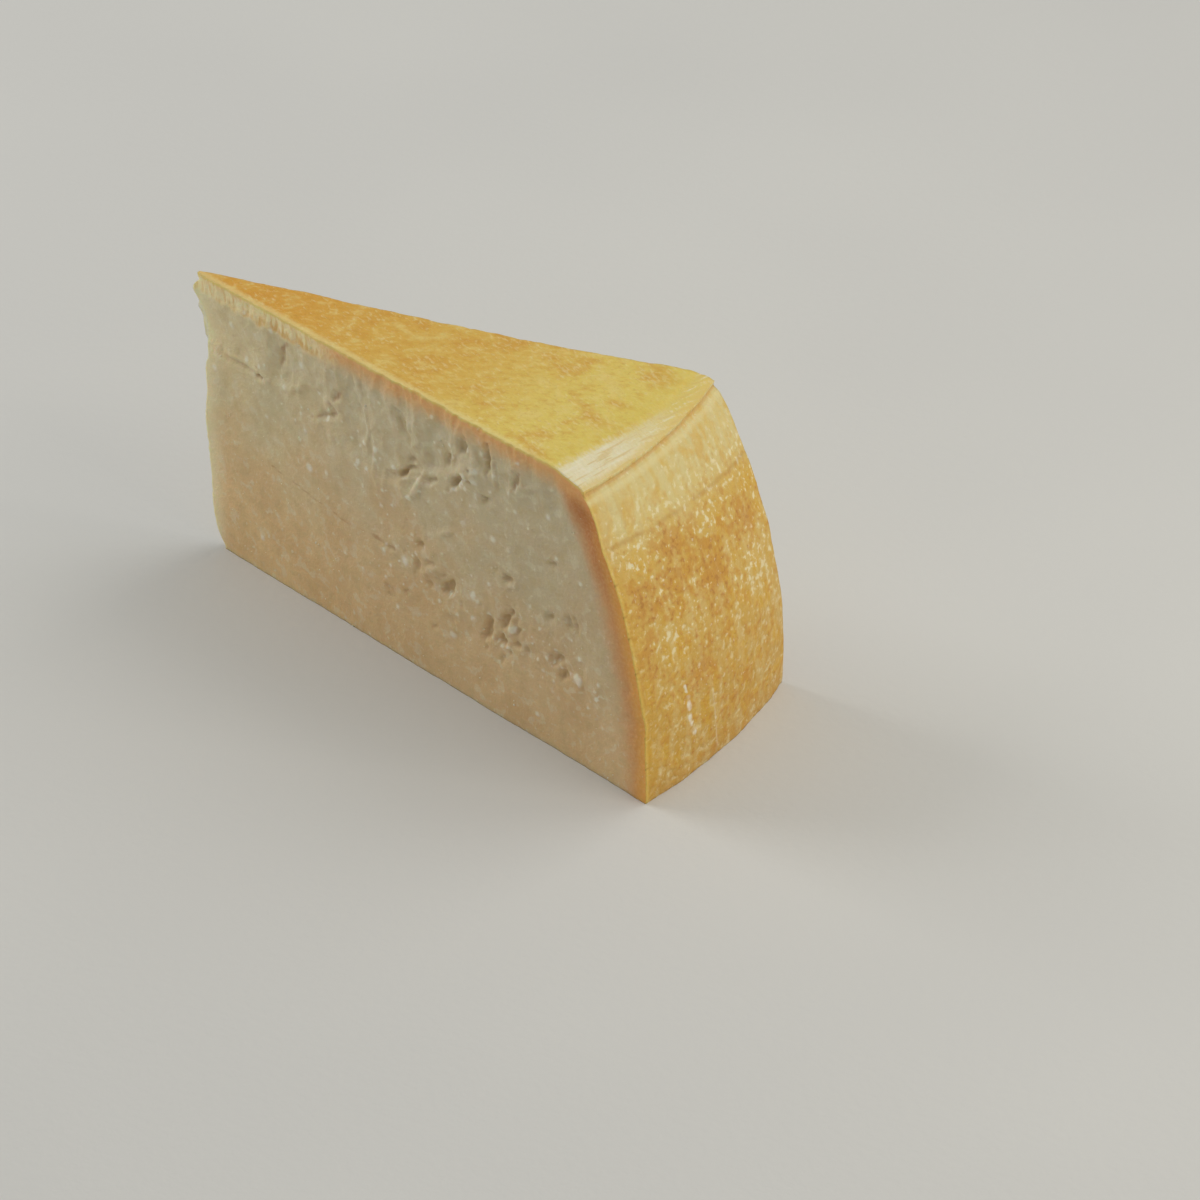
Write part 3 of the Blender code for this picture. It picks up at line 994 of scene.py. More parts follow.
    def build(self) -> bpy.types.Object:
        """Make the mesh, with its shading attributes and its material numbers.

        Returns:
            The wedge's object, not yet dressed.
        """
        kinds = [
            (Face.PASTE, self.side_faces(0, 1)),
            (Face.PASTE, self.side_faces(self.slices, self.far_stride)),
            (Face.TOP_RIND, self.top_faces()),
            (Face.SIDE_RIND, self.wall_faces(len(self.columns) - 1, 1)),
            (Face.PASTE, self.wall_faces(0, self.fan_stride(0))),
            (Face.PASTE, self.base_faces()),
        ]
        faces = [face for _, group in kinds for face in group]
        numbers = [int(kind) for kind, group in kinds for _ in group]
        places, attributes = self.place_points()
        mesh = bpy.data.meshes.new("wedge_surface")
        mesh.from_pydata(places.tolist(), [], faces)
        mesh.polygons.foreach_set("material_index", numbers)
        work = bmesh.new()
        work.from_mesh(mesh)
        bmesh.ops.recalc_face_normals(work, faces=work.faces)
        work.to_mesh(mesh)
        work.free()
        mesh.polygons.foreach_set("use_smooth", [True] * len(mesh.polygons))
        for name, values in attributes.items():
            kind = "FLOAT_VECTOR" if values.ndim == 2 else "FLOAT"
            attribute = mesh.attributes.new(name, kind, "POINT")
            attribute.data.foreach_set("vector" if values.ndim == 2 else "value", values.ravel())
        return add_object("wedge_surface", mesh)

    def top_relief(
        self, x: Array, y: Array, across: Array, radius: Array, inward: Array
    ) -> Array:
        """How far the top rind stands up: swells and fibres, less the chips along its cut edges.

        Args:
            x: First coordinate of each point.
            y: Second coordinate of each point.
            across: Share of the way from the near side to the far side.
            radius: Distance from the wheel's axis.
            inward: Share of the way from the front edge to the side rind.

        Returns:
            Heights, below 0 where it is chipped.
        """
        crumbled = bell(across * radius, self.chip_reach)
        crumbled = crumbled + bell((1.0 - across) * radius, self.chip_reach)
        chips = np.maximum(0.0, self.chips.read(x, y)) * crumbled
        fibres = self.top_fibres.read(x + self.fibre_slant * y, y)
        return sum(wave.read(x, y) for wave in self.top_waves) + fibres - chips * inward

    def place_points(self) -> tuple[Array, dict[str, Array]]:
        """Place every grid point, and work out what the materials read at it.

        Returns:
            Places in metres, and the attributes by name. Those that are lengths are in millimetres.
        """
        wheel = self.wheel
        named = np.array(list(self.points))
        column, cut, row = named[:, 0], named[:, 1], named[:, 2]
        inward = self.columns[column]
        upward = self.rows[row]
        across = cut / self.slices
        near = self.near.relief(*self.side_grid(wheel.near_cut), wheel)
        far_top = wheel.far_cut + wheel.far_lean
        far = self.far.relief(*self.side_grid(far_top), wheel)

        rough_angle = mix(wheel.near_cut, far_top, across)
        top = wheel.top_height(inward * wheel.rim_radius, rough_angle)
        rim = wheel.top_height(np.full_like(inward, wheel.rim_radius), rough_angle)
        up = upward * top
        side = wheel.side_radius(up, rim)
        radius = mix(wheel.front_radius(up), side, inward)
        far_angle = wheel.far_angle(radius, up)
        angle = mix(wheel.near_cut, far_angle, across)
        arc = (angle - wheel.near_cut) * wheel.widest_radius
        on_side = smooth_step(self.edge_start, 1.0, inward)
        radius = radius + on_side * self.marks.out(arc, up)

        near_out = (1.0 - across) * near.out[column, row]
        far_out = across * far.out[column, row]
        x = radius * np.cos(angle)
        y = np.maximum(radius, 0.0) * np.sin(angle)
        y = y + (2.0 * across - 1.0) * wheel.edge_half_thickness * (1.0 - inward)
        x = x + near_out * math.sin(wheel.near_cut) - far_out * np.sin(far_angle)
        y = y + far_out * np.cos(far_angle) - near_out * math.cos(wheel.near_cut)

        on_top = smooth_step(self.edge_start, 1.0, upward)
        z = up + on_top * self.top_relief(x, y, across, radius, inward)

        below_top = (top - up) / MM
        in_from_side = (side - radius) / MM * np.where(inward < 1.0, 1.0, 0.0)
        along_cut = x * math.cos(wheel.near_cut) + y * math.sin(wheel.near_cut)
        from_cut = y * math.cos(wheel.near_cut) - x * math.sin(wheel.near_cut)
        groove_half_width = self.groove_shade * wheel.groove_half_width
        groove = bell(up - rim + wheel.groove_below_lip, groove_half_width)
        attributes = {
            "cut_place": np.stack([radius / MM, up / MM, across * self.sides_apart], axis=1),
            "side_place": np.stack([arc / MM, up / MM, np.zeros_like(up)], axis=1),
            "top_place": np.stack([along_cut / MM, from_cut / MM, np.zeros_like(up)], axis=1),
            "below_top": below_top,
            "in_from_side": in_from_side,
            "past_facet": wheel.facet_place(radius, angle) / MM,
            "turn": wheel.turn(angle),
            "groove": groove * on_side,
            "patches": self.marks.patch_share(arc, up),
            "scuff": self.marks.scuff_share(arc, up),
            "hollow": mix(near.hollow[column, row], far.hollow[column, row], across),
            "bright": mix(near.bright[column, row], far.bright[column, row], across),
            "frayed": mix(near.frayed[column, row], far.frayed[column, row], across),
            "stain": np.where(inward < 1.0, near.stain[column, row] * (1.0 - across),
                              self.marks.nicks(arc, up)),
        }
        places = np.stack([x + wheel.axis[0], y + wheel.axis[1], z], axis=1)
        return places, {name: values.astype(np.float32) for name, values in attributes.items()}


def add_node(
    tree: bpy.types.NodeTree,
    kind: str,
    inputs: dict[int | str, object] | None = None,
    **settings: object,
) -> bpy.types.Node:
    """Add a node to a material.

    Args:
        tree: The material's node tree.
        kind: Blender's name of the node's type.
        inputs: Value or output socket for each input, by the input's name or number.
        settings: The node's own settings.

    Returns:
        The new node.
    """
    node = tree.nodes.new(kind)
    for name, value in settings.items():
        setattr(node, name, value)
    for name, value in (inputs or {}).items():
        if isinstance(value, bpy.types.NodeSocket):
            tree.links.new(value, node.inputs[name])
        else:
            node.inputs[name].default_value = value
    return node


@dataclass(frozen=True)
class Pattern:
    """Natural pattern of a surface, drawn as soft noise.

    name is what layers call it. size is the width of a wave in millimetres, and finer is the number
    of layers of smaller waves over it. A wave is stretch times as long as wide, along a line that
    is turned by so many degrees from the surface's first coordinate.
    """

    name: str
    size: float
    finer: float = 2.0
    stretch: float = 1.0
    turned: float = 0.0


@dataclass(frozen=True)
class Rise:
    """Smooth rise from 0 to 1 as a weighted sum of signals goes from start to end."""

    weights: dict[str, float]
    start: float
    end: float


def rise(start: float, end: float, **weights: float) -> Rise:
    """Make a rise from its ends and the weight of each signal."""
    return Rise(weights, start, end)


@dataclass(frozen=True)
class Layer:
    """Colour laid over the earlier ones, at its full share only where all its rises are 1."""

    colour: str
    share: float
    rises: tuple[Rise, ...]


def layer(colour: str, share: float, *rises: Rise) -> Layer:
    """Make a layer from its colour, its full share and its rises."""
    return Layer(colour, share, rises)


@dataclass(frozen=True)
class Finish:
    """Finish of one surface: a ground colour, layers over it, gloss and fine relief.

    place names the surface's attribute of places in millimetres, and fields its other attributes.
    Where place is empty, the piece's own coordinates are used. gloss is where the surface is
    rougher than roughness and where smoother, by up to roughness_swing. grain is where it stands
    out, by up to grain_height in millimetres.
    """

    name: str
    ground: str
    patterns: tuple[Pattern, ...]
    layers: tuple[Layer, ...]
    gloss: Rise
    grain: Rise
    grain_height: float
    roughness: float
    roughness_swing: float
    place: str = ""
    fields: tuple[str, ...] = ()
    index: float = 1.46
    light_share: float = 0.0
    light_depth: float = 0.0
    light_reach: tuple[float, float, float] = (1.0, 0.55, 0.22)

    def signals(self, tree: bpy.types.NodeTree) -> dict[str, bpy.types.NodeSocket]:
        """Add all that the layers read: the place's coordinates, the attributes and the patterns.

        Args:
            tree: The material's node tree.

        Returns:
            The signals by name.
        """
        if self.place:
            node = add_node(tree, "ShaderNodeAttribute", attribute_name=self.place)
            place = node.outputs["Vector"]
        else:
            own = add_node(tree, "ShaderNodeTexCoord").outputs["Object"]
            inputs = {0: own, 1: (1.0 / MM, 1.0 / MM, 1.0 / MM)}
            place = add_node(tree, "ShaderNodeVectorMath", inputs, operation="MULTIPLY").outputs[0]
        apart = add_node(tree, "ShaderNodeSeparateXYZ", {0: place})
        found = {"along": apart.outputs[0], "up": apart.outputs[1]}
        for name in self.fields:
            found[name] = add_node(tree, "ShaderNodeAttribute", attribute_name=name).outputs["Fac"]
        for pattern in self.patterns:
            inputs = {
                "Vector": place,
                "Rotation": (0.0, 0.0, math.radians(pattern.turned)),
                "Scale": (pattern.stretch, 1.0, 1.0),
            }
            moved = add_node(tree, "ShaderNodeMapping", inputs, vector_type="TEXTURE").outputs[0]
            inputs = {"Vector": moved, "Scale": 1.0 / pattern.size, "Detail": pattern.finer}
            found[pattern.name] = add_node(tree, "ShaderNodeTexNoise", inputs).outputs[0]
        return found

    @staticmethod
    def read(
        tree: bpy.types.NodeTree,
        signals: dict[str, bpy.types.NodeSocket],
        slope: Rise,
        low: object,
        high: object,
    ) -> bpy.types.NodeSocket:
        """Turn a rise into a value that goes from low to high.

        Args:
            tree: The material's node tree.
            signals: The signals by name.
            slope: The rise.
            low: Value or socket before its start.
            high: Value or socket after its end.

        Returns:
            The value's socket.
        """
        total: object = 0.0
        for name, weight in slope.weights.items():
            inputs = {0: signals[name], 1: weight, 2: total}
            total = add_node(tree, "ShaderNodeMath", inputs, operation="MULTIPLY_ADD").outputs[0]
        inputs = {0: total, 1: slope.start, 2: slope.end, 3: low, 4: high}
        node = add_node(tree, "ShaderNodeMapRange", inputs, interpolation_type="SMOOTHSTEP")
        return node.outputs[0]

    def material(self) -> bpy.types.Material:
        """Build the material. All that is uniform is set on its shader.

        Returns:
            The material.
        """
        material = bpy.data.materials.new(self.name)
        material.use_nodes = True
        tree = material.node_tree
        shader = tree.nodes["Principled BSDF"]
        shader.inputs["IOR"].default_value = self.index
        shader.inputs["Subsurface Weight"].default_value = self.light_share
        shader.inputs["Subsurface Radius"].default_value = self.light_reach
        shader.inputs["Subsurface Scale"].default_value = self.light_depth * MM
        signals = self.signals(tree)
        colour: object = linear(self.ground)
        for coat in self.layers:
            share: object = coat.share
            for slope in coat.rises:
                share = self.read(tree, signals, slope, 0.0, share)
            inputs = {0: share, 6: colour, 7: linear(coat.colour)}
            colour = add_node(tree, "ShaderNodeMix", inputs, data_type="RGBA").outputs[2]
        tree.links.new(colour, shader.inputs["Base Color"])
        rougher = self.roughness + self.roughness_swing
        smoother = self.roughness - self.roughness_swing
        rough = self.read(tree, signals, self.gloss, smoother, rougher)
        tree.links.new(rough, shader.inputs["Roughness"])
        height = self.read(tree, signals, self.grain, 0.0, 1.0)
        inputs = {"Height": height, "Distance": self.grain_height * MM, "Strength": 1.0}
        bump = add_node(tree, "ShaderNodeBump", inputs)
        tree.links.new(bump.outputs[0], shader.inputs["Normal"])
        return material


@dataclass(frozen=True)
class PasteFinish(Finish):
    """Aged cow's-milk curd, split by a wedge-shaped knife rather than cut.

    The split runs round the grains of curd, so the paste is dull, granular and pale straw, with
    white crystals. It dries darker towards the rind, and light goes a few millimetres into it,
    which softens its pits and lets the thin front edge glow. Its colour also holds painted light:
    a glow by the front edge, warm bounce light low down, shade in pits, folds, the crevice and the
    upper part away from the front edge, and highlights on ridges, knobs and pit lips.
    """

    name: str = "split aged curd"
    place: str = "cut_place"
    fields: tuple[str, ...] = ("below_top", "in_from_side", "hollow", "bright", "frayed", "stain")
    roughness: float = 0.56
    roughness_swing: float = 0.07
    light_share: float = 0.40
    light_depth: float = 4.0
    grain_height: float = 0.16
    ground: str = "#dccca6"
    patterns: tuple[Pattern, ...] = (
        Pattern("clouds", 24.0, 3.0),
        Pattern("mottle", 5.0, 3.0),
        # Grains of curd are about 0.5 mm, under two pixels of the photograph: drawn coarser
        Pattern("grit", 1.2, 3.0),
        Pattern("flecks", 2.6, 3.0),
        Pattern("threads", 1.8, 2.0, 3.5, 90.0),
    )
    gloss: Rise = rise(0.3, 0.7, mottle=1)
    grain: Rise = rise(0.35, 1.15, grit=1, flecks=0.5)
    layers: tuple[Layer, ...] = (
        # Painted warm bounce light low in the wedge: warmer and a little deeper
        layer("#e3bd88", 0.85, rise(118, 24, up=1, mottle=12, clouds=26)),
        # Painted light by the thin front edge: a paler glow along it, and warm light low down
        # towards it
        layer("#efdca6", 0.5, rise(85, 5, along=1)),
        layer("#efc184", 0.5, rise(130, 20, along=1), rise(70, 16, up=1)),
        # Soft clouds of uneven drying, greyer in some places and tanner in others
        layer("#ccbf9b", 0.34, rise(0.42, 0.64, clouds=1), rise(20, 75, up=1)),
        layer("#d7ab76", 0.36, rise(-0.58, -0.36, clouds=-1), rise(88, 50, up=1)),
        # Painted shade: darker on the upper part, away from the front edge
        layer("#c2b292", 0.38, rise(95, 178, along=1), rise(18, 58, up=1)),
        # Grains of curd, whose joints are a shade darker
        layer("#c9ae7c", 0.3, rise(0.5, 0.68, mottle=1)),
        layer("#c0a776", 0.26, rise(0.5, 0.74, grit=1)),
        layer("#eee6cc", 0.45, rise(0.62, 0.74, flecks=1)),
        layer("#e9e1c3", 0.32, rise(-0.26, -0.14, mottle=-1, flecks=0.4)),
        # Painted glow and highlight: a pale rim along the thin front edge
        layer("#f0e8bc", 0.75, rise(11.5, 0.9, along=1, grit=1.5)),
        # Dried paste behind the side rind: orange-brown, then golden where it meets the rind
        layer("#dc9856", 0.92, rise(16, 5, in_from_side=1, mottle=6, up=-0.04)),
        layer("#bf7133", 0.92, rise(18, 5, in_from_side=1, mottle=6), rise(60, 98, up=1)),
        layer("#e9ab4b", 0.85, rise(8, 2.5, in_from_side=1, mottle=3), rise(118, 66, up=1)),
        # Dried paste under the top rind, which is thin by the wheel's middle
        layer("#ecb26c", 0.92, rise(13.5, 5, below_top=1, mottle=7), rise(22, 72, along=1)),
        # Torn fibres of the top rind: cream, with ochre and orange gaps between them
        layer("#fcecb6", 0.9, rise(0.15, 0.95, frayed=1, grit=0.5)),
        layer("#e3b65e", 0.5, rise(0.1, 0.7, frayed=1), rise(0.44, 0.64, threads=1)),
        layer("#dca64e", 0.62, rise(0.1, 0.7, frayed=1),
              rise(9.4, 12.8, below_top=1, threads=7, mottle=5), rise(22, 50, along=1, mottle=30)),
        # Edge of the top rind, seen from the side: its own gold, lightened along the top edge as a
        # painted highlight
        layer("#e6cd74", 0.85, rise(2.4, 1.2, below_top=1, grit=1.6)),
        # Floors of pits and the crevice in tan painted shade, then ridges, knobs and pit lips in
        # painted highlight, over the real white of crystals and crumbs
        layer("#b98f55", 0.38, rise(0.35, 1.2, hollow=1, grit=0.4)),
        layer("#f3eed9", 0.75, rise(0.12, 1.1, bright=1)),
        # Brown hairlines and smudges, and painted shade in folds, cracks and small hollows
        layer("#ad6f42", 0.45, rise(0.15, 0.95, stain=1)),
    )


@dataclass(frozen=True)
class TopRindFinish(Finish):
    """Dry rind of the wheel's flat face, brushed and oiled for months on a wooden shelf.

    It is golden with fine fibrous streaks, oranger towards the wheel's middle, and has a rubbed,
    paler band on the sloping rim, partly painted as sheen with pale highlight streaks. The oil
    gives it a soft low shine.
    """

    name: str = "brushed oiled top rind"
    place: str = "top_place"
    fields: tuple[str, ...] = ("past_facet", "in_from_side", "turn", "groove")
    roughness: float = 0.50
    roughness_swing: float = 0.08
    light_share: float = 0.15
    light_depth: float = 2.0
    grain_height: float = 0.16
    ground: str = "#deb552"
    patterns: tuple[Pattern, ...] = (
        Pattern("wide", 19.0, 3.0),
        Pattern("blotch", 5.5, 4.0, 1.5, 15.0),
        Pattern("wrinkles", 2.0, 4.0, 1.6, 35.0),
        Pattern("threads", 1.2, 3.0, 2.2, -12.0),
        Pattern("grit", 1.1, 3.0),
        Pattern("rim_lines", 1.5, 2.0, 8.0, 90.0),
    )
    gloss: Rise = rise(0.3, 0.7, blotch=1)
    grain: Rise = rise(0.9, 1.8, threads=1, wrinkles=1, grit=0.6)
    layers: tuple[Layer, ...] = (
        # Oranger where the oil soaked in towards the middle, greener gold by the rim
        layer("#dba13a", 0.9, rise(130, 55, along=1, wide=60)),
        layer("#e6cf69", 0.92, rise(112, 168, along=1, blotch=20)),
        layer("#d29230", 0.58, rise(0.73, 1.02, wide=1, blotch=0.5)),
        layer("#e6cd78", 0.55, rise(-0.7, -0.52, wide=-1, blotch=-0.5)),
        # Cloth marks and wrinkles of the drying rind
        layer("#cc9430", 0.36, rise(0.94, 1.22, wrinkles=1, blotch=0.9)),
        layer("#edd685", 0.42, rise(-0.94, -0.72, wrinkles=-1, blotch=-0.9)),
        layer("#f2e2a6", 0.42, rise(1, 1.18, threads=1, grit=0.4, wide=0.5)),
        layer("#c08c2c", 0.28, rise(0.52, 0.74, grit=1)),
        # Fresh line where the knife went through the rind
        layer("#ecda95", 0.55, rise(3.4, 1.2, up=1, grit=2)),
        # Greenish gold before the rim, then the rubbed band, cream near the torn side: partly its
        # own paleness and partly painted sheen, with pale streaks painted as highlights
        layer("#e0c85c", 0.45, rise(-11, 1, past_facet=1, blotch=6)),
        layer("#e0c970", 0.85, rise(0.8, 3.6, past_facet=1, threads=3)),
        layer("#ebe1bb", 0.95, rise(2.6, 7.2, past_facet=1, threads=6, rim_lines=3),
              rise(1.2, 0.8, turn=1, wide=0.5, rim_lines=0.4)),
        layer("#f2ebd2", 0.5, rise(0.4, 2.4, past_facet=1),
              rise(0.78, 0.95, rim_lines=1, grit=0.5)),
        layer("#dab96c", 0.5, rise(0.8, 2.8, past_facet=1), rise(-0.47, -0.36, rim_lines=-1)),
        # Rounded lip, oiled again and golden
        layer("#dfc26a", 0.6, rise(3.2, 1.4, in_from_side=1, threads=1.5),
              rise(0, 2, past_facet=1)),
        # Painted shade in the groove under the lip
        layer("#cd9a4c", 0.55, rise(0.4, 0.98, groove=1)),
    )


@dataclass(frozen=True)
class SideRindFinish(Finish):
    """Dry, oiled rind of the wheel's barrel side, shaped by its mould and hardened in brine.

    Above the seam that the mould left, it is smooth and pale with upright streaks. Below it the
    crust is granular and ochre, mottled with pale grains and orange-brown blotches.
    """

    name: str = "moulded oiled side rind"
    place: str = "side_place"
    fields: tuple[str, ...] = ("below_top", "patches", "scuff", "stain", "groove")
    roughness: float = 0.50
    roughness_swing: float = 0.09
    light_share: float = 0.15
    light_depth: float = 2.0
    grain_height: float = 0.30
    ground: str = "#d4ae55"
    patterns: tuple[Pattern, ...] = (
        Pattern("broad", 15.0, 2.0),
        Pattern("blotch", 6.5, 5.0),
        Pattern("crust", 2.8, 4.0),
        Pattern("fleck", 2.0, 3.0),
        Pattern("streaks", 4.0, 1.0, 6.0, 90.0),
    )
    gloss: Rise = rise(0.3, 0.7, crust=1)
    grain: Rise = rise(0.5, 1.1, crust=1, fleck=0.6)
    layers: tuple[Layer, ...] = (
        # Ochre deepens towards the wheel's middle height, and pales above the mould's seam
        layer("#cb9f45", 0.85, rise(76, 30, up=1, blotch=24)),
        layer("#d6a93a", 0.75, rise(0.86, 1.04, blotch=1, broad=0.8)),
        # Painted shade along the foot of the side, just above the base
        layer("#c2954a", 0.5, rise(12, 2, up=1)),
        layer("#ddcd90", 0.9, rise(86, 102, up=1, blotch=16)),
        layer("#dcb854", 0.45, rise(0.38, 0.72, streaks=1), rise(72, 92, up=1)),
        layer("#dbb04c", 0.5, rise(0.2, 0.36, blotch=1, broad=-0.6), rise(84, 96, up=1)),
        layer("#e3d39c", 0.25, rise(-0.54, -0.34, streaks=-1), rise(95, 60, up=1)),
        # Blotches of soaked oil among the grains of the crust, with darker crust inside them
        layer("#c68a38", 0.62, rise(1.2, 1.46, fleck=0.7, crust=0.8, blotch=0.9, patches=0.28),
              rise(118, 88, up=1, blotch=20)),
        layer("#aa6d2a", 0.5, rise(0.98, 1.14, fleck=1, crust=0.6, patches=0.18),
              rise(110, 88, up=1, blotch=20)),
        # Pale grains of crust, thickest in the belt below the seam
        layer("#eadcab", 0.5,
              rise(-1.06, -0.86, fleck=-0.8, crust=-0.8, blotch=-0.6, patches=-0.16)),
        layer("#efe3b8", 0.75, rise(-0.88, -0.72, fleck=-1, crust=-0.9, patches=-0.14),
              rise(44, 74, up=1, blotch=24), rise(104, 92, up=1, blotch=10)),
        layer("#f0e5bd", 0.55, rise(0.34, 0.46, fleck=1, crust=-0.6)),
        # Line that the mould's seam left, broken here and there
        layer("#bc8c40", 0.42, rise(88.2, 89.6, up=1, along=0.045, blotch=2),
              rise(91, 89.6, up=1, along=0.045, blotch=2), rise(0.36, 0.52, broad=1)),
        # Deeper gold and a bare edge beside the torn side, and a pale line under the groove painted
        # as a highlight
        layer("#d2a23a", 0.45, rise(14, 5, along=1, blotch=10)),
        layer("#e6c765", 0.6, rise(2, 0.5, along=1)),
        layer("#e9dba2", 0.5, rise(5.6, 3.9, below_top=1), rise(2.6, 3.4, below_top=1)),
        layer("#f1ebd6", 0.85, rise(0.15, 0.8, scuff=1)),
        layer("#a8762f", 0.45, rise(0.25, 0.9, stain=1)),
        # Painted shade in the groove under the lip
        layer("#cd9a4c", 0.55, rise(0.4, 0.98, groove=1)),
    )


@dataclass(frozen=True)
class CrystalFinish(Finish):
    """White crystals that grow in the paste as it ages: dry, chalky and almost matt."""

    name: str = "ripened crystals"
    roughness: float = 0.70
    roughness_swing: float = 0.08
    light_share: float = 0.2
    light_depth: float = 0.8
    grain_height: float = 0.03
    ground: str = "#e9e0c6"
    patterns: tuple[Pattern, ...] = (Pattern("cloudy", 1.1),)
    gloss: Rise = rise(0.3, 0.7, cloudy=1)
    grain: Rise = rise(0.3, 0.7, cloudy=1)
    layers: tuple[Layer, ...] = (
        # Curd that still clings to them
        layer("#d8c8a0", 0.5, rise(0.4, 0.7, cloudy=1)),
    )


@dataclass(frozen=True)
class FloorFinish(Finish):
    """Floor paint, rolled on pale and matt, with the faint clouds that a roller leaves."""

    name: str = "rolled matt floor paint"
    roughness: float = 0.80
    roughness_swing: float = 0.03
    grain_height: float = 0.05
    ground: str = "#d9d8d4"
    patterns: tuple[Pattern, ...] = (Pattern("cloudy", 330.0), Pattern("stipple", 4.0))
    gloss: Rise = rise(0.3, 0.7, cloudy=1)
    grain: Rise = rise(0.3, 0.7, stipple=1)
    layers: tuple[Layer, ...] = (
        layer("#d2d1ce", 0.6, rise(0.35, 0.65, cloudy=1)),
    )


@dataclass
class Crystals:
    """Small white crystals and curd crumbs, seated on the torn sides."""

    surface: bpy.types.Object
    count: int = 190
    # Corners of a strip of the base, at least. The torn sides' faces have fewer
    base_corners: int = 8
    sizes: Place = (0.00015, 0.00042)
    size_bend: float = 2.5
    stretches: Place = (0.6, 1.4)
    lump_size: float = 0.00025
    lump_share: float = 0.25
    seed: int = 11

    def build(self) -> bpy.types.Object:
        """Make all the crystals as one mesh, each a small uneven lump sunk halfway into the side.

        Returns:
            The crystals' object.
        """
        draw = np.random.default_rng(self.seed)
        mesh = self.surface.data
        paste = [face for face in mesh.polygons
                 if face.material_index == Face.PASTE and len(face.vertices) < self.base_corners]
        areas = np.array([face.area for face in paste])
        chosen = draw.choice(len(paste), self.count, p=areas / areas.sum(), replace=False)
        made = bmesh.new()
        for number in chosen:
            face = paste[int(number)]
            size = mix(*self.sizes, draw.random() ** self.size_bend)
            lump = bmesh.ops.create_icosphere(made, subdivisions=1, radius=float(size))
            stretch = Vector(draw.uniform(*self.stretches, 3))
            aside = Vector((number, 0.0, 0.0))
            for vert in lump["verts"]:
                jitter = 1.0 + self.lump_share * noise.noise(vert.co / self.lump_size + aside)
                vert.co = Vector(a * b for a, b in zip(vert.co, stretch)) * jitter + face.center
        result = bpy.data.meshes.new("white_crystals")
        made.to_mesh(result)
        made.free()
        result.polygons.foreach_set("use_smooth", [True] * len(result.polygons))
        return add_object("white_crystals", result)


@dataclass(frozen=True)
class Softbox:
    """Square studio light: its name, place, size of face, power in watts and colour."""

    name: str
    place: tuple[float, float, float]
    size: float
    power: float
    hue: str
    aim: tuple[float, float, float] = (0.0, 0.0, 0.05)

    def hang(self) -> None:
        """Hang the softbox so that it faces the wedge."""
        lamp = bpy.data.lights.new(self.name, "AREA")
        lamp.shape = "SQUARE"
        lamp.size = self.size
        lamp.energy = self.power
        lamp.color = linear(self.hue)[:3]
        box = add_object(self.name, lamp)
        box.location = self.place
        sight = Vector(self.aim) - Vector(self.place)
        box.rotation_euler = sight.to_track_quat("-Z", "Y").to_euler()


@dataclass(frozen=True)
class Studio:
    """Camera, lights and floor. The camera stands where the photograph's did."""

    camera_place: tuple[float, float, float] = (0.6483, -0.8717, 0.7567)
    camera_down: float = 34.32
    camera_heading: float = 34.09
    lens: float = 115.62
    sensor: float = 36.0
    floor_size: float = 8.0
    sky: str = "#eaeef0"
    sky_strength: float = 0.41
    softboxes: tuple[Softbox, ...] = (
        Softbox("back_softbox", (0.55, 1.05, 1.45), 1.3, 8.5, "#fffaf0"),
        Softbox("left_softbox", (-1.27, -0.26, 0.96), 0.8, 7.8, "#fffdf8"),
        Softbox("side_softbox", (1.50, 0.10, 0.80), 1.0, 9.4, "#fff8ea"),
    )

    def build(self) -> None:
        """Set up the floor, the sky, the softboxes and the camera."""
        scene = bpy.context.scene
        made = bmesh.new()
        bmesh.ops.create_grid(made, x_segments=4, y_segments=4, size=self.floor_size / 2)
        mesh = bpy.data.meshes.new("studio_floor")
        made.to_mesh(mesh)
        made.free()
        floor = add_object("studio_floor", mesh)
        mesh.materials.append(FloorFinish().material())

        world = bpy.data.worlds.new("soft sky")
        world.use_nodes = True
        background = world.node_tree.nodes["Background"]
        background.inputs["Color"].default_value = linear(self.sky)
        background.inputs["Strength"].default_value = self.sky_strength
        scene.world = world
        for softbox in self.softboxes:
            softbox.hang()

        camera = bpy.data.cameras.new("photo_camera")
        camera.lens = self.lens
        camera.sensor_width = self.sensor
        holder = add_object("photo_camera", camera)
        holder.location = self.camera_place
        holder.rotation_euler = (math.radians(90.0 - self.camera_down), 0.0,
                                 math.radians(self.camera_heading))
        scene.camera = holder
        scene.view_settings.view_transform = "Standard"


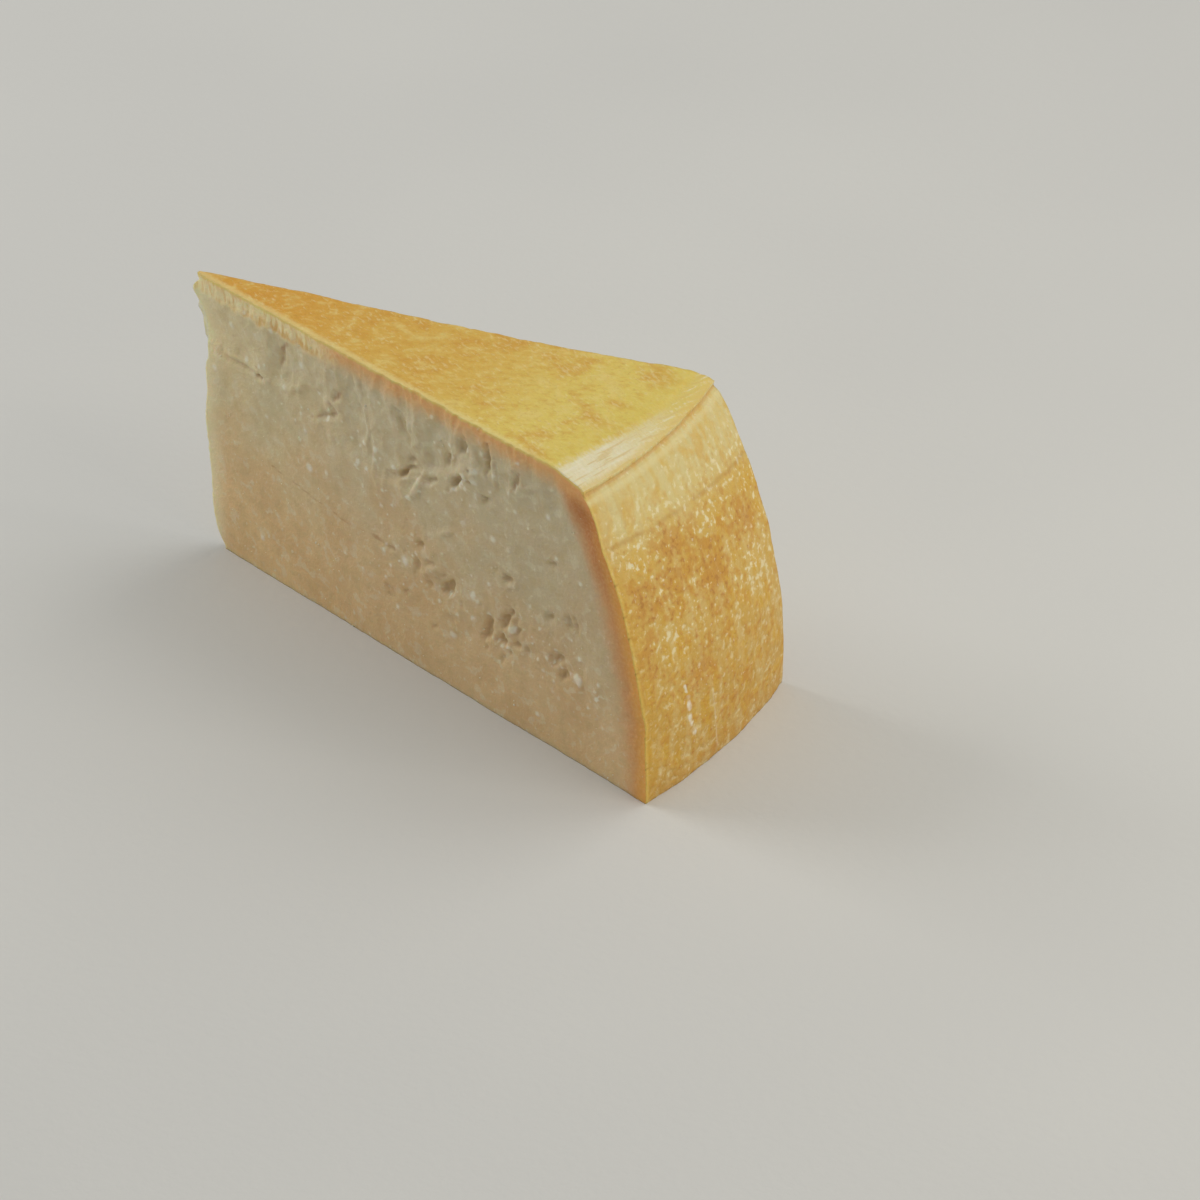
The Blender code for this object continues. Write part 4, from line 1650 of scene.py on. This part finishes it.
@dataclass
class CheeseWedge:
    """The whole wedge: its surface and what sits on it."""

    wheel: Wheel = field(default_factory=Wheel)
    near_pits: tuple[Hollow, ...] = rows_as(
        Hollow,
        (110.5, 51, 2.2, 1.7, 1.2, 20), (116.3, 46, 1.7, 1.4, 0.9, 0),
        (108.7, 42.4, 3, 1.9, 1.1, 85), (123.5, 40.5, 4.6, 2.4, 2, 50),
        (96.2, 43, 1.8, 1.3, 0.6, 0), (152.2, 57, 2.6, 1.5, 1.4, 15),
        (171.5, 51.2, 2.4, 1.6, 1.2, 25), (180.3, 53.8, 2.6, 1.5, 1, 100),
        (184.2, 53.5, 2.4, 1.2, 0.9, 90), (150.7, 40.5, 3.6, 2.1, 2, 50),
        (142.8, 33, 5.4, 1.9, 1.7, 73), (149.2, 31.8, 3, 1.8, 1.6, 25),
        (156.2, 33.2, 2.8, 1.4, 1.3, 22), (153, 28.2, 1.8, 1.2, 0.8, 30),
        (161.2, 33.5, 1.8, 1.4, 1, -50), (157.2, 39.5, 2, 1.3, 0.9, 40),
        (175.8, 37.2, 3.6, 1.8, 1.6, 35), (178.5, 32.2, 2.4, 1.9, 1.2, 60),
        (123.8, 28.5, 3.8, 2, 0.6, 25), (96.2, 25, 3.4, 2.6, 0.7, 0), (173, 72.5, 2.6, 1.4, 1, 15),
    )
    near_gouges: tuple[Hollow, ...] = rows_as(
        Hollow,
        (124, 90.3, 3.8, 1.8, 1.3, 68), (131.8, 99.4, 4, 2.1, 1.5, 65),
        (143.7, 98.8, 5.4, 2.3, 2.2, 88), (156.8, 96.5, 5.4, 1.6, 1.2, 62),
        (104.5, 93, 7.5, 2.2, 1, -67), (42.5, 95, 6.4, 1.6, 0.9, 70),
        (69.4, 90.8, 3.8, 1.6, 0.9, 55),
    )
    near_cracks: tuple[Hollow, ...] = rows_as(
        Hollow,
        (18, 81.5, 14, 1.3, 1, 0), (30, 81.2, 3.4, 1.2, 1.2, 15), (65, 81, 8.5, 1.3, 0.9, 25),
        (102, 75, 3.6, 1.4, 1.7, 48), (106, 78.8, 3.4, 1.2, 1.2, 18), (106.2, 82, 3.2, 1.1, 1, 25),
        (117, 79.3, 4, 1.2, 1.1, 22), (129, 85, 5.4, 1.3, 1.8, 48),
        (142.8, 82.8, 3.6, 1.1, 0.8, 20),
    )
    near_ridges: tuple[Hollow, ...] = rows_as(
        Hollow,
        (109.7, 74, 6.6, 1.8, -0.9, 63), (112, 79.5, 2.6, 1.5, -0.8, 20),
        (137, 97, 5.8, 2, -0.8, 85), (146.7, 96, 6, 1.2, -0.7, 90),
        (81.2, 101, 3.4, 1.5, -0.7, -70), (84.2, 90, 6, 1.1, -0.6, -68),
        (85, 81.5, 4.5, 1.1, -0.6, 75), (48.5, 84.6, 4.2, 1.2, -0.6, 25),
        (154.2, 38.5, 4, 1.6, -1, 70), (122.8, 61.5, 4.6, 1.4, -0.7, 33),
        (114.8, 43, 4.4, 1.9, -0.6, 40), (114, 87, 4, 1.6, -0.6, -75),
        (106.5, 95.5, 4, 1.5, -0.6, 80), (163, 97.2, 5, 1.2, -0.5, 22),
        (154.8, 56, 3.2, 1.4, -0.6, 35), (185, 33.6, 3.2, 1.6, -0.6, 10),
    )
    near_seed: float = 2.6
    far_seed: float = 9.3
    far_pit_count: int = 14
    far_pit_start: float = 0.034
    far_pit_spacing: float = 0.0125
    # Middle and swing of the far pits' height, half length, half width and depth
    far_measures: tuple[Place, ...] = metres((52, 26), (3, 1.4), (2.4, 0.9), (1.3, 0.5))
    far_rates: tuple[float, ...] = (2.3, 1.7, 2.9, 3.1)

    def far_pits(self) -> tuple[Hollow, ...]:
        """Pits of the far side, in a wavy row, each a little different from the last.

        Returns:
            The pits.
        """
        pits = []
        for index in range(self.far_pit_count):
            along = self.far_pit_start + index * self.far_pit_spacing
            up, length, width, depth = (index * rate for rate in self.far_rates)
            swings = (math.sin(up), math.sin(length), math.cos(width), math.sin(depth))
            pairs = zip(self.far_measures, swings)
            measures = [middle + reach * swing for (middle, reach), swing in pairs]
            pits.append(Hollow(along, *measures, math.degrees(swings[0])))
        return tuple(pits)

    def build(self) -> dict[str, bpy.types.Object]:
        """Make, dress and mount the wedge's pieces.

        Returns:
            The pieces by name.
        """
        near = NearSide(
            seed=self.near_seed,
            hollows=self.near_pits + self.near_gouges + self.near_cracks + self.near_ridges,
            small_pits=34,
            pit_line=((0.098, 0.044), (0.125, 0.037), (0.150, 0.036), (0.180, 0.035)),
        )
        far = TornSide(
            seed=self.far_seed,
            hollows=self.far_pits(),
            small_pits=30,
            pit_line=((0.030, 0.060), (0.100, 0.048), (0.190, 0.060)),
            pit_scatter=0.016,
        )
        surface = WedgeSurface(self.wheel, near, far, SideRindMarks()).build()
        for finish in (PasteFinish(), TopRindFinish(), SideRindFinish()):
            surface.data.materials.append(finish.material())
        crystals = Crystals(surface).build()
        crystals.data.materials.append(CrystalFinish().material())
        pieces = {"wedge_surface": surface, "white_crystals": crystals}
        for piece in pieces.values():
            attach(piece, BODY)
        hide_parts(NODE)
        return pieces


def main() -> None:
    """Build the wedge and the studio, and report each piece."""
    logging.basicConfig(level=logging.INFO, format="%(name)s: %(message)s")
    Studio().build()
    for name, piece in CheeseWedge().build().items():
        triangles = sum(len(face.vertices) - 2 for face in piece.data.polygons)
        LOG.info("%s: %d triangles", name, triangles)


if __name__ == "__main__":
    main()
